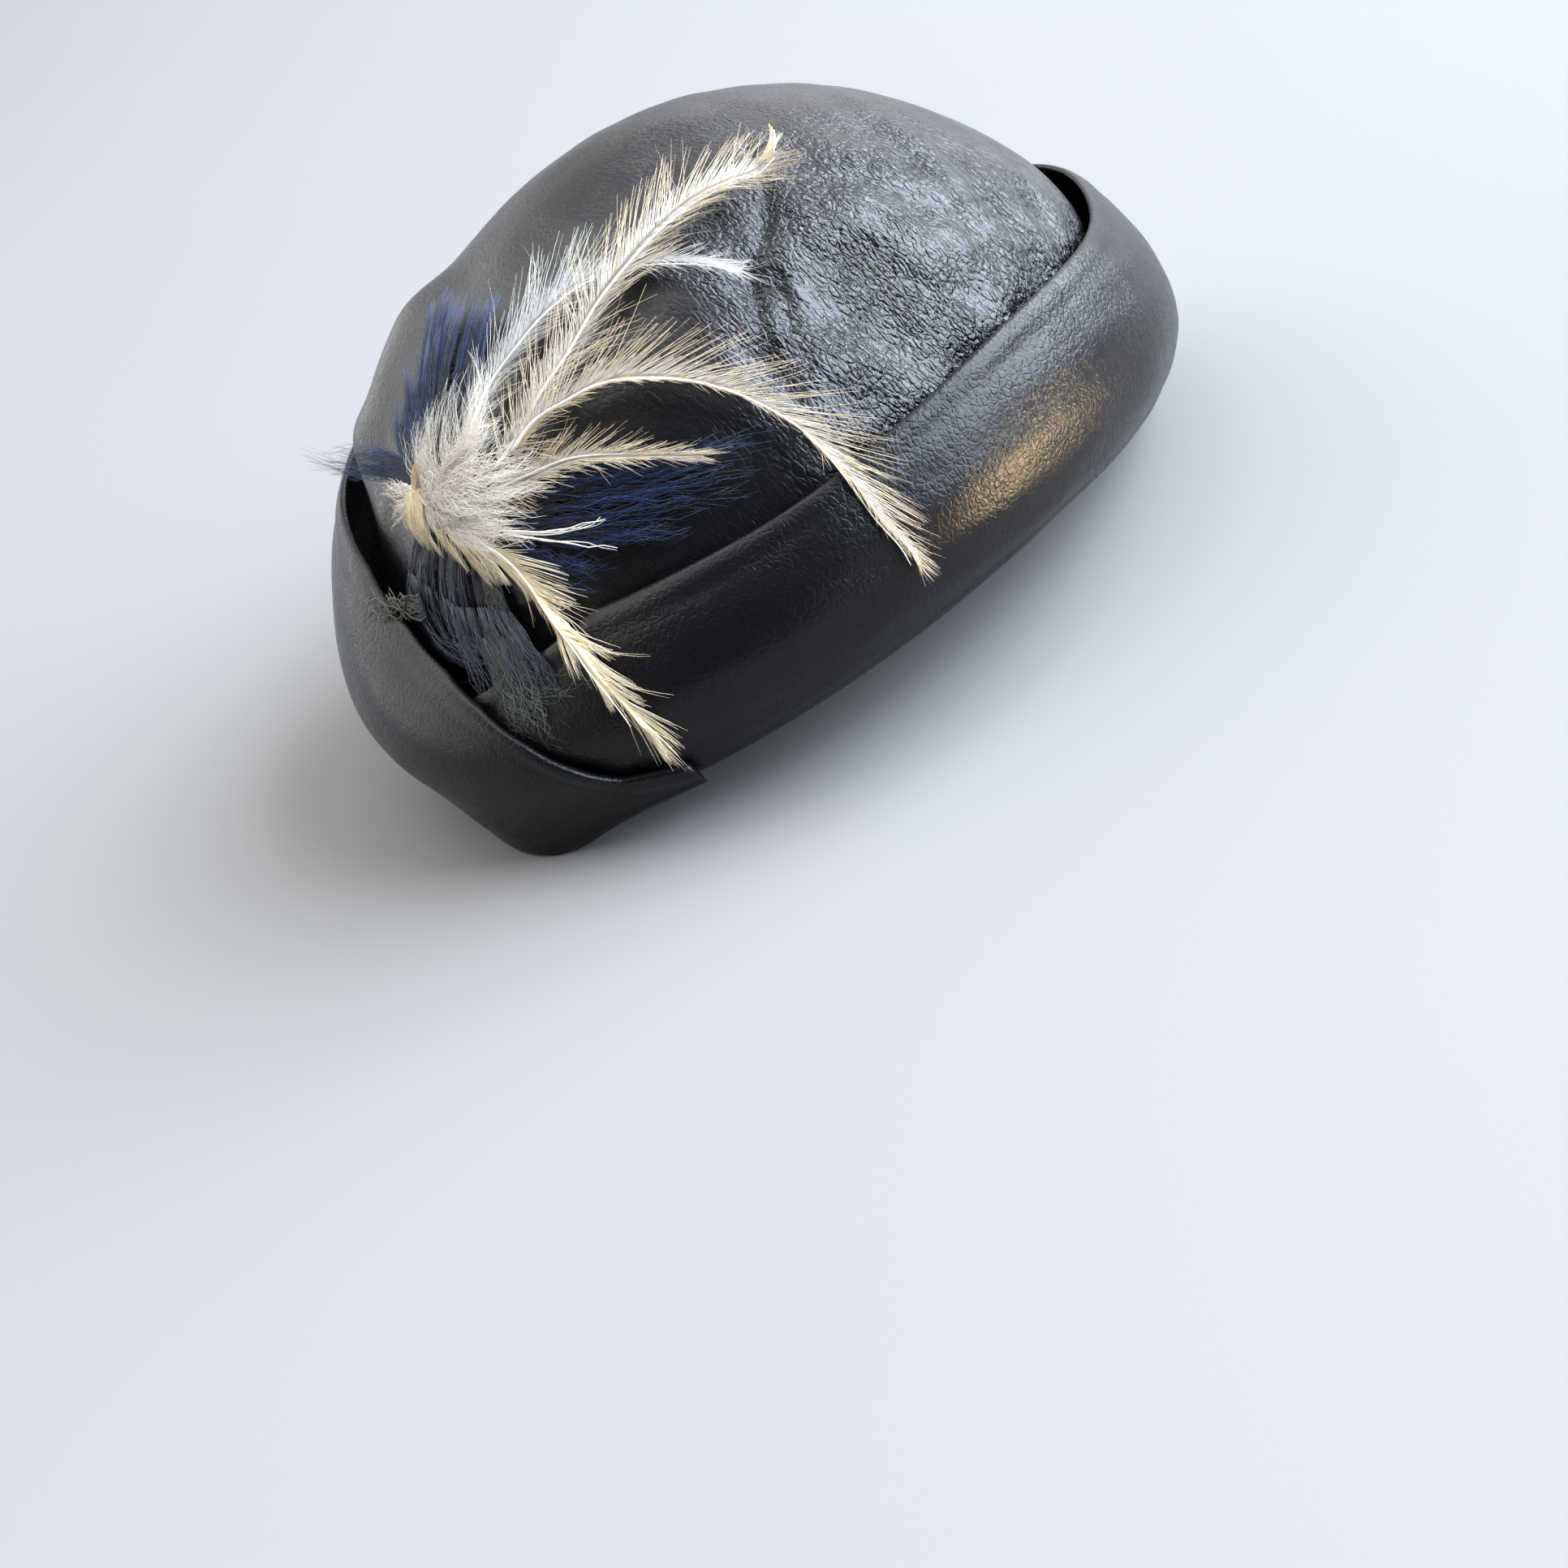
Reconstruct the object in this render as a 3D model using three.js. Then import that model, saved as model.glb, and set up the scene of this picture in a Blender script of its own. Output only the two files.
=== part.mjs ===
// A small leather toque: a soft domed crown, a turned-up cuff that laps over itself at the front, and a
// spray of cream and navy feathers. Millimetres, +Z up; the wearer's face is towards -Y, and the floor
// that the hat rests on is z = 0.
//
// Places on the hat are given by three values:
//   turn   degrees round the hat: 0 is the front, 90 the wearer's left (+X), 180 the back
//   climb  degrees up the crown: -30 is the floor, 0 the spring line of the dome, 90 the top
//   out    millimetres out from the leather of the crown
import * as THREE from 'three';

// ---------------------------------------------------------------- driving dimensions

const CROWN = {
  halfBreadth: 79.3,
  halfLength: 91.9,
  height: 109.3,
  spring: 32.9,         // height at which the upright wall turns into the dome
  roundness: 1.06,      // 1 is an ellipse; a little more is slightly flatter-sided
  wallClimb: 30,        // climb, in degrees, that the upright wall counts for
  wall: 2,
};

const RIM = {
  halfBreadth: 80.2,
  halfLength: 97.7,
  arch: 17.2,           // how far the rim rises over the ears
  frontLift: 8.3,       // how far the crown's own rim stands off the floor at the front
  flattened: 1.2,       // leather pressed flat where the hat rests
};

const CUFF = {
  start: -32,           // running turn of the hidden inner end
  end: 391,             // running turn of the outer end, just past the front
  stations: 94,
  wall: 2,
  seam: 0.5,            // clearance to the crown's wall
  foot: 0.06,           // share of the section that lies flat where the hat rests
  flatUpTo: 3,          // height of the fold at which it is fully round again
  belly: 10.2,          // how far the fullest line stands out from the rim
  bellyFrontBack: 2.2,  // more of it at the front and back
  bellyRise: 18.5,
  edgeStandOff: 2.1,    // the edge's distance out from the girth of the crown
  lapFrom: 278,         // running turn at which the outer lap starts to stand off
  lapFull: 322,
  lapAtFold: 2.7,       // how far the outer lap stands off at the bottom fold
  lapAbove: 0.6,        // and above it, where the inner end gives way
  tuck: 2.3,            // how far the inner end draws in beneath the lap
  tuckAtEdge: 1.1,
  tuckFull: 15,         // running turn up to which it is fully drawn in
  tuckEnd: 60,
  foldShare: 0.25,      // share of the section that belongs to the bottom fold
};

// Thickness of a feather along its shaft and at the tips of its barbs.
const FEATHER = { shaft: 1.0, edge: 0.5, stations: 12 };

// Height of the cuff's edge above the floor, round the hat.
const CUFF_EDGE = [
  { turn: 0, height: 47.8 },
  { turn: 45, height: 53.7 },
  { turn: 90, height: 61.9 },
  { turn: 135, height: 53.6 },
  { turn: 180, height: 48.2 },
  { turn: 225, height: 56 },
  { turn: 270, height: 64 },
  { turn: 315, height: 61 },
];

// Share of the cuff's full section that is left as each of its two ends tapers away.
const CUFF_TAPER = [
  { run: -32, reach: 0.16 },
  { run: -20, reach: 0.32 },
  { run: -10, reach: 0.52 },
  { run: 4, reach: 0.8 },
  { run: 15, reach: 0.92 },
  { run: 23, reach: 1 },
  { run: 336, reach: 1 },
  { run: 349, reach: 0.95 },
  { run: 359, reach: 0.87 },
  { run: 366, reach: 0.76 },
  { run: 373, reach: 0.59 },
  { run: 379, reach: 0.38 },
  { run: 383, reach: 0.22 },
  { run: 391, reach: 0.13 },
];

// The pointed corner at the lower front of the outer lap.
const CORNER = { run: 364, halfWidth: 12, drop: 6.5, push: 4.5, upTo: 0.5 };

// Soft folds and dents of the crown: each lifts the leather along a line from one place to another.
const FOLDS = [
  { name: 'front fold', fromTurn: -44, fromClimb: 47, toTurn: -40, toClimb: 34, halfWidth: 13, lift: 5.5 },
  { name: 'back swell', fromTurn: 132, fromClimb: 18, toTurn: 150, toClimb: 18, halfWidth: 20, lift: 2 },
  { name: 'side dent', fromTurn: 77, fromClimb: 38, toTurn: 80, toClimb: 36, halfWidth: 15, lift: -3.2 },
  { name: 'side ridge', fromTurn: 80, fromClimb: 47, toTurn: 98, toClimb: 36, halfWidth: 8, lift: 1.2 },
  { name: 'upper crease', fromTurn: 79, fromClimb: 58, toTurn: 64, toClimb: 49, halfWidth: 5, lift: -1.0 },
  { name: 'lower crease', fromTurn: 64, fromClimb: 49, toTurn: 59, toClimb: 36, halfWidth: 5, lift: -1.0 },
];

const ROOT = { turn: 1, climb: 32, radius: 9.6, underside: 0.5, depth: 8 };

// Each feather runs from its root to its tip; left and right are its half widths seen from outside.
const FEATHERS = {
  long_plume: [
    { turn: 8.5, climb: 35.2, out: 5.2, left: 2, right: 2 },
    { turn: 16, climb: 40, out: 5.2, left: 7, right: 6 },
    { turn: 26, climb: 48, out: 5.2, left: 15, right: 11 },
    { turn: 35, climb: 53, out: 5.2, left: 15, right: 13 },
    { turn: 52, climb: 59, out: 5.2, left: 11, right: 13 },
    { turn: 70, climb: 60, out: 5.2, left: 8, right: 8 },
    { turn: 92, climb: 62, out: 5.6, left: 2, right: 3 },
  ],
  broad_plume: [
    { turn: 4.2, climb: 38.1, out: 3.4, left: 2, right: 2 },
    { turn: 7, climb: 43, out: 3.4, left: 5, right: 5 },
    { turn: 11, climb: 49, out: 3.4, left: 9, right: 7 },
    { turn: 19, climb: 54, out: 3.4, left: 9, right: 7 },
    { turn: 30, climb: 57, out: 3.4, left: 4, right: 4 },
  ],
  curled_plume: [
    { turn: 8.5, climb: 32.8, out: 7, left: 2, right: 2 },
    { turn: 16, climb: 35, out: 7, left: 4, right: 3 },
    { turn: 23, climb: 39, out: 7, left: 7, right: 4 },
    { turn: 31, climb: 40, out: 7, left: 9, right: 4 },
    { turn: 45, climb: 37, out: 7.2, left: 10, right: 3 },
    { turn: 55, climb: 28, out: 7.8, left: 10, right: 3 },
    { turn: 59.5, climb: 18, out: 9.2, left: 7, right: 3 },
    { turn: 60.5, climb: 9, out: 12.4, left: 4, right: 2 },
    { turn: 60, climb: 4.5, out: 13, left: 1, right: 1 },
  ],
  short_plume: [
    { turn: 10, climb: 31.5, out: 3.4, left: 2, right: 2 },
    { turn: 15, climb: 33, out: 3.4, left: 5, right: 4 },
    { turn: 24, climb: 35, out: 3.4, left: 6, right: 5 },
    { turn: 33, climb: 32.5, out: 3.4, left: 4, right: 4 },
    { turn: 43, climb: 29, out: 3.4, left: 1, right: 1 },
  ],
  drooping_plume: [
    { turn: -11.5, climb: 29, out: 3.6, left: 2, right: 3 },
    { turn: -4, climb: 24.8, out: 3.6, left: 1, right: 6 },
    { turn: 5, climb: 22, out: 3.6, left: 2, right: 7 },
    { turn: 11, climb: 20.5, out: 4.2, left: 7, right: 5 },
    { turn: 15, climb: 14.5, out: 6.4, left: 7, right: 4 },
    { turn: 19, climb: 8.5, out: 10.6, left: 7, right: 4 },
    { turn: 22, climb: 3.5, out: 13.6, left: 7, right: 5 },
    { turn: 25, climb: -1.5, out: 15.6, left: 7, right: 5 },
    { turn: 29, climb: -9, out: 16.4, left: 3, right: 3 },
  ],
  navy_plume_upper: [
    { turn: 0, climb: 39.1, out: 1.2, left: 3, right: 3 },
    { turn: -4, climb: 44, out: 1.2, left: 7, right: 6 },
    { turn: -9, climb: 51, out: 1.2, left: 9, right: 8 },
    { turn: -15, climb: 57, out: 1.2, left: 9, right: 8 },
  ],
  navy_plume_curled: [
    { turn: -4, climb: 37.3, out: 3.0, left: 2, right: 2 },
    { turn: -10, climb: 42, out: 3.0, left: 5, right: 4 },
    { turn: -17, climb: 46.5, out: 3.2, left: 6, right: 6 },
    { turn: -24, climb: 49.5, out: 3.8, left: 3, right: 3 },
  ],
  navy_side_tuft: [
    { turn: -7.5, climb: 33, out: 1.3, left: 2, right: 2 },
    { turn: -20, climb: 35, out: 3, left: 4, right: 4 },
    { turn: -27, climb: 33.5, out: 7, left: 3, right: 3 },
    { turn: -33, climb: 29.5, out: 12, left: 1, right: 1 },
  ],
  navy_hackles: [
    { turn: 9.5, climb: 30, out: 1.2, left: 2, right: 2 },
    { turn: 16, climb: 29.5, out: 1.2, left: 6, right: 8 },
    { turn: 28, climb: 28.5, out: 1.2, left: 9, right: 14 },
    { turn: 40, climb: 28.5, out: 1.2, left: 7, right: 11 },
    { turn: 56, climb: 27, out: 1.2, left: 2, right: 2 },
  ],
  navy_lower_plumes: [
    { turn: 0, climb: 24.9, out: 1.2, left: 4, right: 4 },
    { turn: 1, climb: 18, out: 1.2, left: 9, right: 9 },
    { turn: 2, climb: 12, out: 1.2, left: 8, right: 9 },
    { turn: 3, climb: 8, out: 1.2, left: 4, right: 5 },
  ],
};

// ---------------------------------------------------------------- materials

function material(color, roughness) {
  return new THREE.MeshStandardMaterial({ color, roughness, metalness: 0 });
}

const LEATHER = () => material(0x17181c, 0.42);
const CREAM = () => material(0xe6dcc0, 0.85);
const WHITE = () => material(0xeae8e0, 0.9);
const GOLD = () => material(0xd9bf87, 0.85);
const NAVY = () => material(0x1b2547, 0.8);
const SLATE = () => material(0x2a3340, 0.85);

// ---------------------------------------------------------------- the crown as a surface

const radians = THREE.MathUtils.degToRad;
const degrees = THREE.MathUtils.radToDeg;
const DOME_HEIGHT = CROWN.height - CROWN.spring;

/** A point on the plain dome, before its folds. */
function domePoint(turn, climb) {
  const angle = radians(Math.max(climb, 0));
  const girth = Math.max(Math.cos(angle), 0) ** CROWN.roundness;
  const below = Math.min(climb / CROWN.wallClimb, 0);
  const flare = below * below;
  const breadth = THREE.MathUtils.lerp(CROWN.halfBreadth, RIM.halfBreadth, flare);
  const length = THREE.MathUtils.lerp(CROWN.halfLength, RIM.halfLength, flare);
  const height = CROWN.spring * (1 + below) + DOME_HEIGHT * Math.sin(angle) ** CROWN.roundness;
  const bearing = radians(turn);
  return new THREE.Vector3(breadth * girth * Math.sin(bearing), -length * girth * Math.cos(bearing), height);
}

/** The direction straight out from the leather at a point on the plain dome. */
function domeNormal(point) {
  const rise = Math.max(point.z - CROWN.spring, 0);
  return new THREE.Vector3(
    point.x / CROWN.halfBreadth ** 2,
    point.y / CROWN.halfLength ** 2,
    rise / DOME_HEIGHT ** 2,
  ).normalize();
}

/** How far the folds lift the leather at a point on the plain dome. */
function foldLift(point) {
  const nearest = new THREE.Vector3();
  return FOLDS.reduce((lift, fold) => {
    const line = new THREE.Line3(
      domePoint(fold.fromTurn, fold.fromClimb),
      domePoint(fold.toTurn, fold.toClimb),
    );
    line.closestPointToPoint(point, true, nearest);
    return lift + fold.lift * Math.exp(-((nearest.distanceTo(point) / fold.halfWidth) ** 2));
  }, 0);
}

/** A point `out` millimetres over the folded leather of the crown. */
function crownPoint(turn, climb, out) {
  const point = domePoint(turn, climb);
  return point.addScaledVector(domeNormal(point), out + foldLift(point));
}

/** The point `out` millimetres over the leather beneath a point that lies near it. */
function settle(point, out) {
  const across = point.x / CROWN.halfBreadth;
  const along = -point.y / CROWN.halfLength;
  const rise = point.z - CROWN.spring;
  const climb = rise > 0
    ? degrees(Math.atan2(rise / DOME_HEIGHT, Math.hypot(across, along)))
    : CROWN.wallClimb * rise / CROWN.spring;
  return crownPoint(degrees(Math.atan2(across, along)), climb, out);
}

/** Height of the crown's rim above the floor: arched over the ears, lifted at the front. */
function rimHeight(turn) {
  const bearing = radians(turn);
  const front = RIM.frontLift * (1 + Math.cos(bearing)) / 2;
  return Math.max(RIM.arch * Math.sin(bearing) ** 2 + front - RIM.flattened, 0);
}

// ---------------------------------------------------------------- solids

/** A closed solid through rings of equal point counts, its two ends capped across. */
function loft(name, finish, rings) {
  const count = rings[0].length;
  const corner = (ring, i) => ring * count + (i % count);
  const triangles = [];
  for (let ring = 0; ring + 1 < rings.length; ring += 1) {
    for (let i = 0; i < count; i += 1) {
      const [a, b] = [corner(ring, i), corner(ring, i + 1)];
      const [c, d] = [corner(ring + 1, i + 1), corner(ring + 1, i)];
      triangles.push(a, b, c, a, c, d);
    }
  }
  const last = rings.length - 1;
  for (let i = 0; i + 1 < count / 2; i += 1) {
    const [a, b, c, d] = [i, i + 1, count - 2 - i, count - 1 - i];
    triangles.push(corner(0, a), corner(0, c), corner(0, b));
    triangles.push(corner(0, a), corner(0, d), corner(0, c));
    triangles.push(corner(last, a), corner(last, b), corner(last, c));
    triangles.push(corner(last, a), corner(last, c), corner(last, d));
  }
  const geometry = new THREE.BufferGeometry().setFromPoints(rings.flat());
  geometry.setIndex(triangles);
  geometry.computeVertexNormals();
  const mesh = new THREE.Mesh(geometry, finish);
  mesh.name = name;
  return mesh;
}

// ---------------------------------------------------------------- crown

const CROWN_SIDES = 72;
const WALL_LEVELS = [0, 0.5];
const DOME_CLIMBS = [0, 9, 18, 27, 36, 45, 54, 63, 71, 79, 87];

/** One ring of crown points at the same level, `out` from the leather. */
function crownRing(climbAt, out) {
  return Array.from({ length: CROWN_SIDES }, (_, i) => {
    const turn = 360 * i / CROWN_SIDES;
    return crownPoint(turn, climbAt(turn), out);
  });
}

function crown() {
  const rimClimb = (turn) => CROWN.wallClimb * (rimHeight(turn) / CROWN.spring - 1);
  const levels = [
    ...WALL_LEVELS.map((share) => (turn) => rimClimb(turn) * (1 - share)),
    ...DOME_CLIMBS.map((climb) => () => climb),
  ];
  const inside = levels.map((level) => crownRing(level, -CROWN.wall)).reverse();
  const outside = levels.map((level) => crownRing(level, 0));
  return loft('crown', LEATHER(), [...inside, ...outside]);
}

// ---------------------------------------------------------------- cuff

const edgeHeights = new THREE.CubicInterpolant(
  [...CUFF_EDGE.map((row) => row.turn), 360],
  [...CUFF_EDGE.map((row) => row.height), CUFF_EDGE[0].height],
  1,
);
edgeHeights.settings = { endingStart: THREE.WrapAroundEnding, endingEnd: THREE.WrapAroundEnding };

const taper = new THREE.LinearInterpolant(
  CUFF_TAPER.map((row) => row.run),
  CUFF_TAPER.map((row) => row.reach),
  1,
);

/** A point of an upright ellipse round the hat at some height. */
function girthPoint(halfBreadth, halfLength, bearing, height) {
  return new THREE.Vector3(halfBreadth * Math.sin(bearing), -halfLength * Math.cos(bearing), height);
}

/** The cuff's plain face: a curve from the bottom fold (share 0) over the belly to the edge (share 1). */
function cuffFace(run, share) {
  const turn = THREE.MathUtils.euclideanModulo(run, 360);
  const bearing = radians(turn);
  const fold = CUFF.seam;
  const belly = CUFF.belly + CUFF.bellyFrontBack * Math.cos(2 * bearing);
  const low = rimHeight(turn);
  const bottom = girthPoint(RIM.halfBreadth + fold, RIM.halfLength + fold, bearing, low);
  const middle = girthPoint(RIM.halfBreadth + belly, RIM.halfLength + belly, bearing, low + CUFF.bellyRise);
  const edge = girthPoint(
    CROWN.halfBreadth + CUFF.edgeStandOff,
    CROWN.halfLength + CUFF.edgeStandOff,
    bearing,
    edgeHeights.evaluate(turn)[0],
  );
  return bottom.multiplyScalar((1 - share) * (1 - 2 * share))
    .addScaledVector(middle, 4 * share * (1 - share))
    .addScaledVector(edge, share * (2 * share - 1));
}

/** The direction straight out from the cuff's plain face. */
function cuffNormal(run, share) {
  const around = cuffFace(run + 0.5, share).sub(cuffFace(run - 0.5, share));
  const up = cuffFace(run, share + 0.01).sub(cuffFace(run, share - 0.01));
  return around.cross(up).normalize();
}

/** How far the cuff stands off its plain face: out at its lap, in where its start is tucked away. */
function standOff(run, share) {
  const { lerp, smoothstep } = THREE.MathUtils;
  const above = smoothstep(share, 0, CUFF.foldShare);
  const lap = smoothstep(run, CUFF.lapFrom, CUFF.lapFull) * lerp(CUFF.lapAtFold, CUFF.lapAbove, above);
  const drawnIn = 1 - smoothstep(run, CUFF.tuckFull, CUFF.tuckEnd);
  const tuck = drawnIn * above * lerp(CUFF.tuck, CUFF.tuckAtEdge, smoothstep(share, 0.7, 1));
  return lap - tuck;
}

/** A point `depth` millimetres inside the cuff's finished face, with its outer lap and its corner. */
function cuffPoint(run, share, depth) {
  const point = cuffFace(run, share);
  point.addScaledVector(cuffNormal(run, share), standOff(run, share) - depth);
  const near = Math.exp(-(((run - CORNER.run) / CORNER.halfWidth) ** 2));
  const corner = near * Math.max(1 - share / CORNER.upTo, 0) ** 2;
  const outward = new THREE.Vector3(point.x, point.y, 0).normalize();
  point.addScaledVector(outward, CORNER.push * corner);
  point.z = Math.max(point.z - CORNER.drop * corner, 0);
  return point;
}

const CUFF_STEPS = 8;
const ROLL_SHARE = 0.012;   // how far the rolled edge stands over the face, as a share of the section

/** One section of the cuff: up its face, over the rolled edge and down its back to the flat foot. */
function cuffSection(run) {
  const reach = taper.evaluate(run)[0];
  const shares = Array.from({ length: CUFF_STEPS }, (_, i) => (
    THREE.MathUtils.lerp(CUFF.foot, reach, (i + 1) / CUFF_STEPS)
  ));
  const innerFoot = cuffPoint(run, 0, 0);
  const outerFoot = cuffPoint(run, CUFF.foot, 0);
  const resting = Math.max(1 - innerFoot.z / CUFF.flatUpTo, 0);
  outerFoot.z = THREE.MathUtils.lerp(outerFoot.z, innerFoot.z, resting);
  return [
    outerFoot,
    ...shares.map((share) => cuffPoint(run, share, 0)),
    cuffPoint(run, reach + ROLL_SHARE, CUFF.wall * 0.3),
    cuffPoint(run, reach + ROLL_SHARE, CUFF.wall * 0.7),
    ...shares.reverse().map((share) => cuffPoint(run, share, CUFF.wall)),
    innerFoot,
  ];
}

function cuff() {
  const sections = Array.from({ length: CUFF.stations + 1 }, (_, i) => (
    cuffSection(THREE.MathUtils.lerp(CUFF.end, CUFF.start, i / CUFF.stations))
  ));
  return loft('cuff', LEATHER(), sections);
}

// ---------------------------------------------------------------- feathers

const VANE_ACROSS = [-1, -0.5, 0, 0.5, 1];

/** The rows' value of one column, between rows: place 0 is the first row and 1 the last. */
function between(rows, column, place) {
  const at = place * (rows.length - 1);
  const row = Math.min(Math.floor(at), rows.length - 2);
  return THREE.MathUtils.lerp(rows[row][column], rows[row + 1][column], at - row);
}

/** A feather's outer form: a thin leaf that follows the crown, thickest along its shaft. */
function feather(name, finish) {
  const rows = FEATHERS[name];
  const shaft = new THREE.CatmullRomCurve3(rows.map((row) => crownPoint(row.turn, row.climb, row.out)));
  const rings = Array.from({ length: FEATHER.stations + 1 }, (_, i) => {
    const place = i / FEATHER.stations;
    const centre = shaft.getPoint(place);
    const side = shaft.getTangent(place).cross(domeNormal(centre)).normalize();
    const face = (lift) => VANE_ACROSS.map((across) => {
      const halfWidth = between(rows, across < 0 ? 'left' : 'right', place);
      const half = THREE.MathUtils.lerp(FEATHER.shaft, FEATHER.edge, Math.abs(across)) / 2;
      const point = centre.clone().addScaledVector(side, across * halfWidth);
      return settle(point, between(rows, 'out', place) + lift * half);
    });
    return [...face(1), ...face(-1).reverse()];
  });
  return loft(name, finish, rings);
}

const TUFT_SIDES = 20;

/** The rings of the tuft: radius as a share of its own, height as a share of its depth. */
const TUFT_RINGS = [
  { radius: 0.3, height: 0 },
  { radius: 0.7, height: 0 },
  { radius: 1, height: 0 },
  { radius: 1, height: 0.55 },
  { radius: 0.85, height: 0.85 },
  { radius: 0.5, height: 1 },
];

/** The fluff and knot at the root of the spray: a low round lump on the leather. */
function downTuft() {
  const centre = domePoint(ROOT.turn, ROOT.climb);
  const along = domePoint(ROOT.turn + 1, ROOT.climb).sub(centre).normalize();
  const up = domePoint(ROOT.turn, ROOT.climb + 1).sub(centre).normalize();
  const rings = TUFT_RINGS.map(({ radius, height }) => (
    Array.from({ length: TUFT_SIDES }, (_, i) => {
      const angle = 2 * Math.PI * i / TUFT_SIDES;
      const point = centre.clone()
        .addScaledVector(along, ROOT.radius * radius * Math.cos(angle))
        .addScaledVector(up, ROOT.radius * radius * Math.sin(angle));
      return settle(point, ROOT.underside + ROOT.depth * height);
    })
  ));
  return loft('down_tuft', WHITE(), rings);
}

// ---------------------------------------------------------------- the hat

const hat = new THREE.Group();
hat.add(
  crown(),
  cuff(),
  downTuft(),
  feather('long_plume', CREAM()),
  feather('broad_plume', WHITE()),
  feather('curled_plume', CREAM()),
  feather('short_plume', CREAM()),
  feather('drooping_plume', GOLD()),
  feather('navy_plume_upper', NAVY()),
  feather('navy_plume_curled', NAVY()),
  feather('navy_side_tuft', NAVY()),
  feather('navy_hackles', NAVY()),
  feather('navy_lower_plumes', SLATE()),
);

export default hat;
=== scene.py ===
"""A small leather toque with a spray of cream and navy feathers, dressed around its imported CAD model.

Everything is in metres with +Z up, and the wearer's face is towards -Y. Places on the hat are given by
three values, as in the CAD model:
    turn   degrees round the hat: 0 is the front, 90 the wearer's left (+X), 180 the back
    climb  degrees up the crown: -30 is the floor, 0 the spring line of the dome, 90 the top
    out    metres out from the leather of the crown
"""

from __future__ import annotations

import logging
from dataclasses import dataclass, field
from enum import Enum
from functools import cache

import bpy
import numpy as np
from mathutils import Matrix, Vector


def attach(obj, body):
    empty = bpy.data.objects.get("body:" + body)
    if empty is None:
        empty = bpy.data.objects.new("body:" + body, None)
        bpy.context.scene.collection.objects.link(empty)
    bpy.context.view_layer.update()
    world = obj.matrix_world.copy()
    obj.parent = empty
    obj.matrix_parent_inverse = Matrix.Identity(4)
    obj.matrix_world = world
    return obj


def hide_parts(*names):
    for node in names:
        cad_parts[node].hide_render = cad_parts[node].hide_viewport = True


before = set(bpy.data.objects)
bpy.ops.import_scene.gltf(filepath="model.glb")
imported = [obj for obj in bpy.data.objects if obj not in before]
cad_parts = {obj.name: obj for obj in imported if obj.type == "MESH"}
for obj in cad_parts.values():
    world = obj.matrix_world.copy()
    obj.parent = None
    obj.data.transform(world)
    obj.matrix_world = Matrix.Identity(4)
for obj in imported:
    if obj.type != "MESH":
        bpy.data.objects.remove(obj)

MM = 0.001
log = logging.getLogger("toque")
Colour = tuple[float, float, float]


# ------------------------------------------------------------------ small maths on whole arrays


def smooth(value: np.ndarray, low: float, high: float) -> np.ndarray:
    """A soft step: t * t * (3 - 2t), where t is how far value has come from low to high, held to 0..1.

    Args:
        value: numbers of any shape.
        low: where the step starts.
        high: where it ends.

    Returns:
        Numbers of the same shape, from 0 to 1.
    """
    t = np.clip((np.asarray(value, float) - low) / (high - low), 0.0, 1.0)
    return t * t * (3.0 - 2.0 * t)


def mix(a: np.ndarray, b: np.ndarray, share: np.ndarray) -> np.ndarray:
    """a + (b - a) * share."""
    return a + (b - a) * share


def waves(points: np.ndarray) -> np.ndarray:
    """A soft unevenness: ten sines of the place, 8 to 24 mm long, whose directions and phases are drawn once.

    Args:
        points: places, in metres.

    Returns:
        A number for each: the sum of its sines over 3.2, so that most lie from -1 to 1.
    """
    rng = np.random.default_rng(11)
    count, shortest, longest = 10, 0.008, 0.024
    ways = unit(rng.normal(size=(count, 3)) * (0.5, 1.2, 0.9))
    rates = 2 * np.pi / rng.uniform(shortest, longest, count)
    phases = rng.uniform(0, 6.28, count)
    return np.sin(points @ (ways * rates[:, None]).T + phases).sum(-1) / 3.2


def bell(distance: np.ndarray, half_width: float) -> np.ndarray:
    """exp(-(distance / half_width)^2)."""
    return np.exp(-((distance / half_width) ** 2))


def unit(vectors: np.ndarray) -> np.ndarray:
    """Each vector divided by its length."""
    return vectors / np.maximum(np.linalg.norm(vectors, axis=-1, keepdims=True), 1e-12)


def spline(knots: np.ndarray, share: np.ndarray) -> np.ndarray:
    """A smooth curve through knots: on each span, the cubic whose slopes are half the neighbours' difference.

    Args:
        knots: rows of numbers that the curve passes through, evenly spaced from share 0 to share 1.
        share: where on the curve to look, from 0 to 1, of any shape.

    Returns:
        The curve's rows there: share's shape with the knots' columns added.
    """
    first, last = 2 * knots[:1] - knots[1:2], 2 * knots[-1:] - knots[-2:-1]
    padded = np.concatenate([first, knots, last])
    at = np.clip(np.asarray(share, float), 0.0, 1.0) * (len(knots) - 1)
    span = np.minimum(at.astype(int), len(knots) - 2)
    t = (at - span)[..., None]
    a, b, c, d = (padded[span + i] for i in range(4))
    return b + 0.5 * t * (c - a + t * (2 * a - 5 * b + 4 * c - d + t * (3 * (b - c) + d - a)))


# ------------------------------------------------------------------ meshes from arrays


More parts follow.
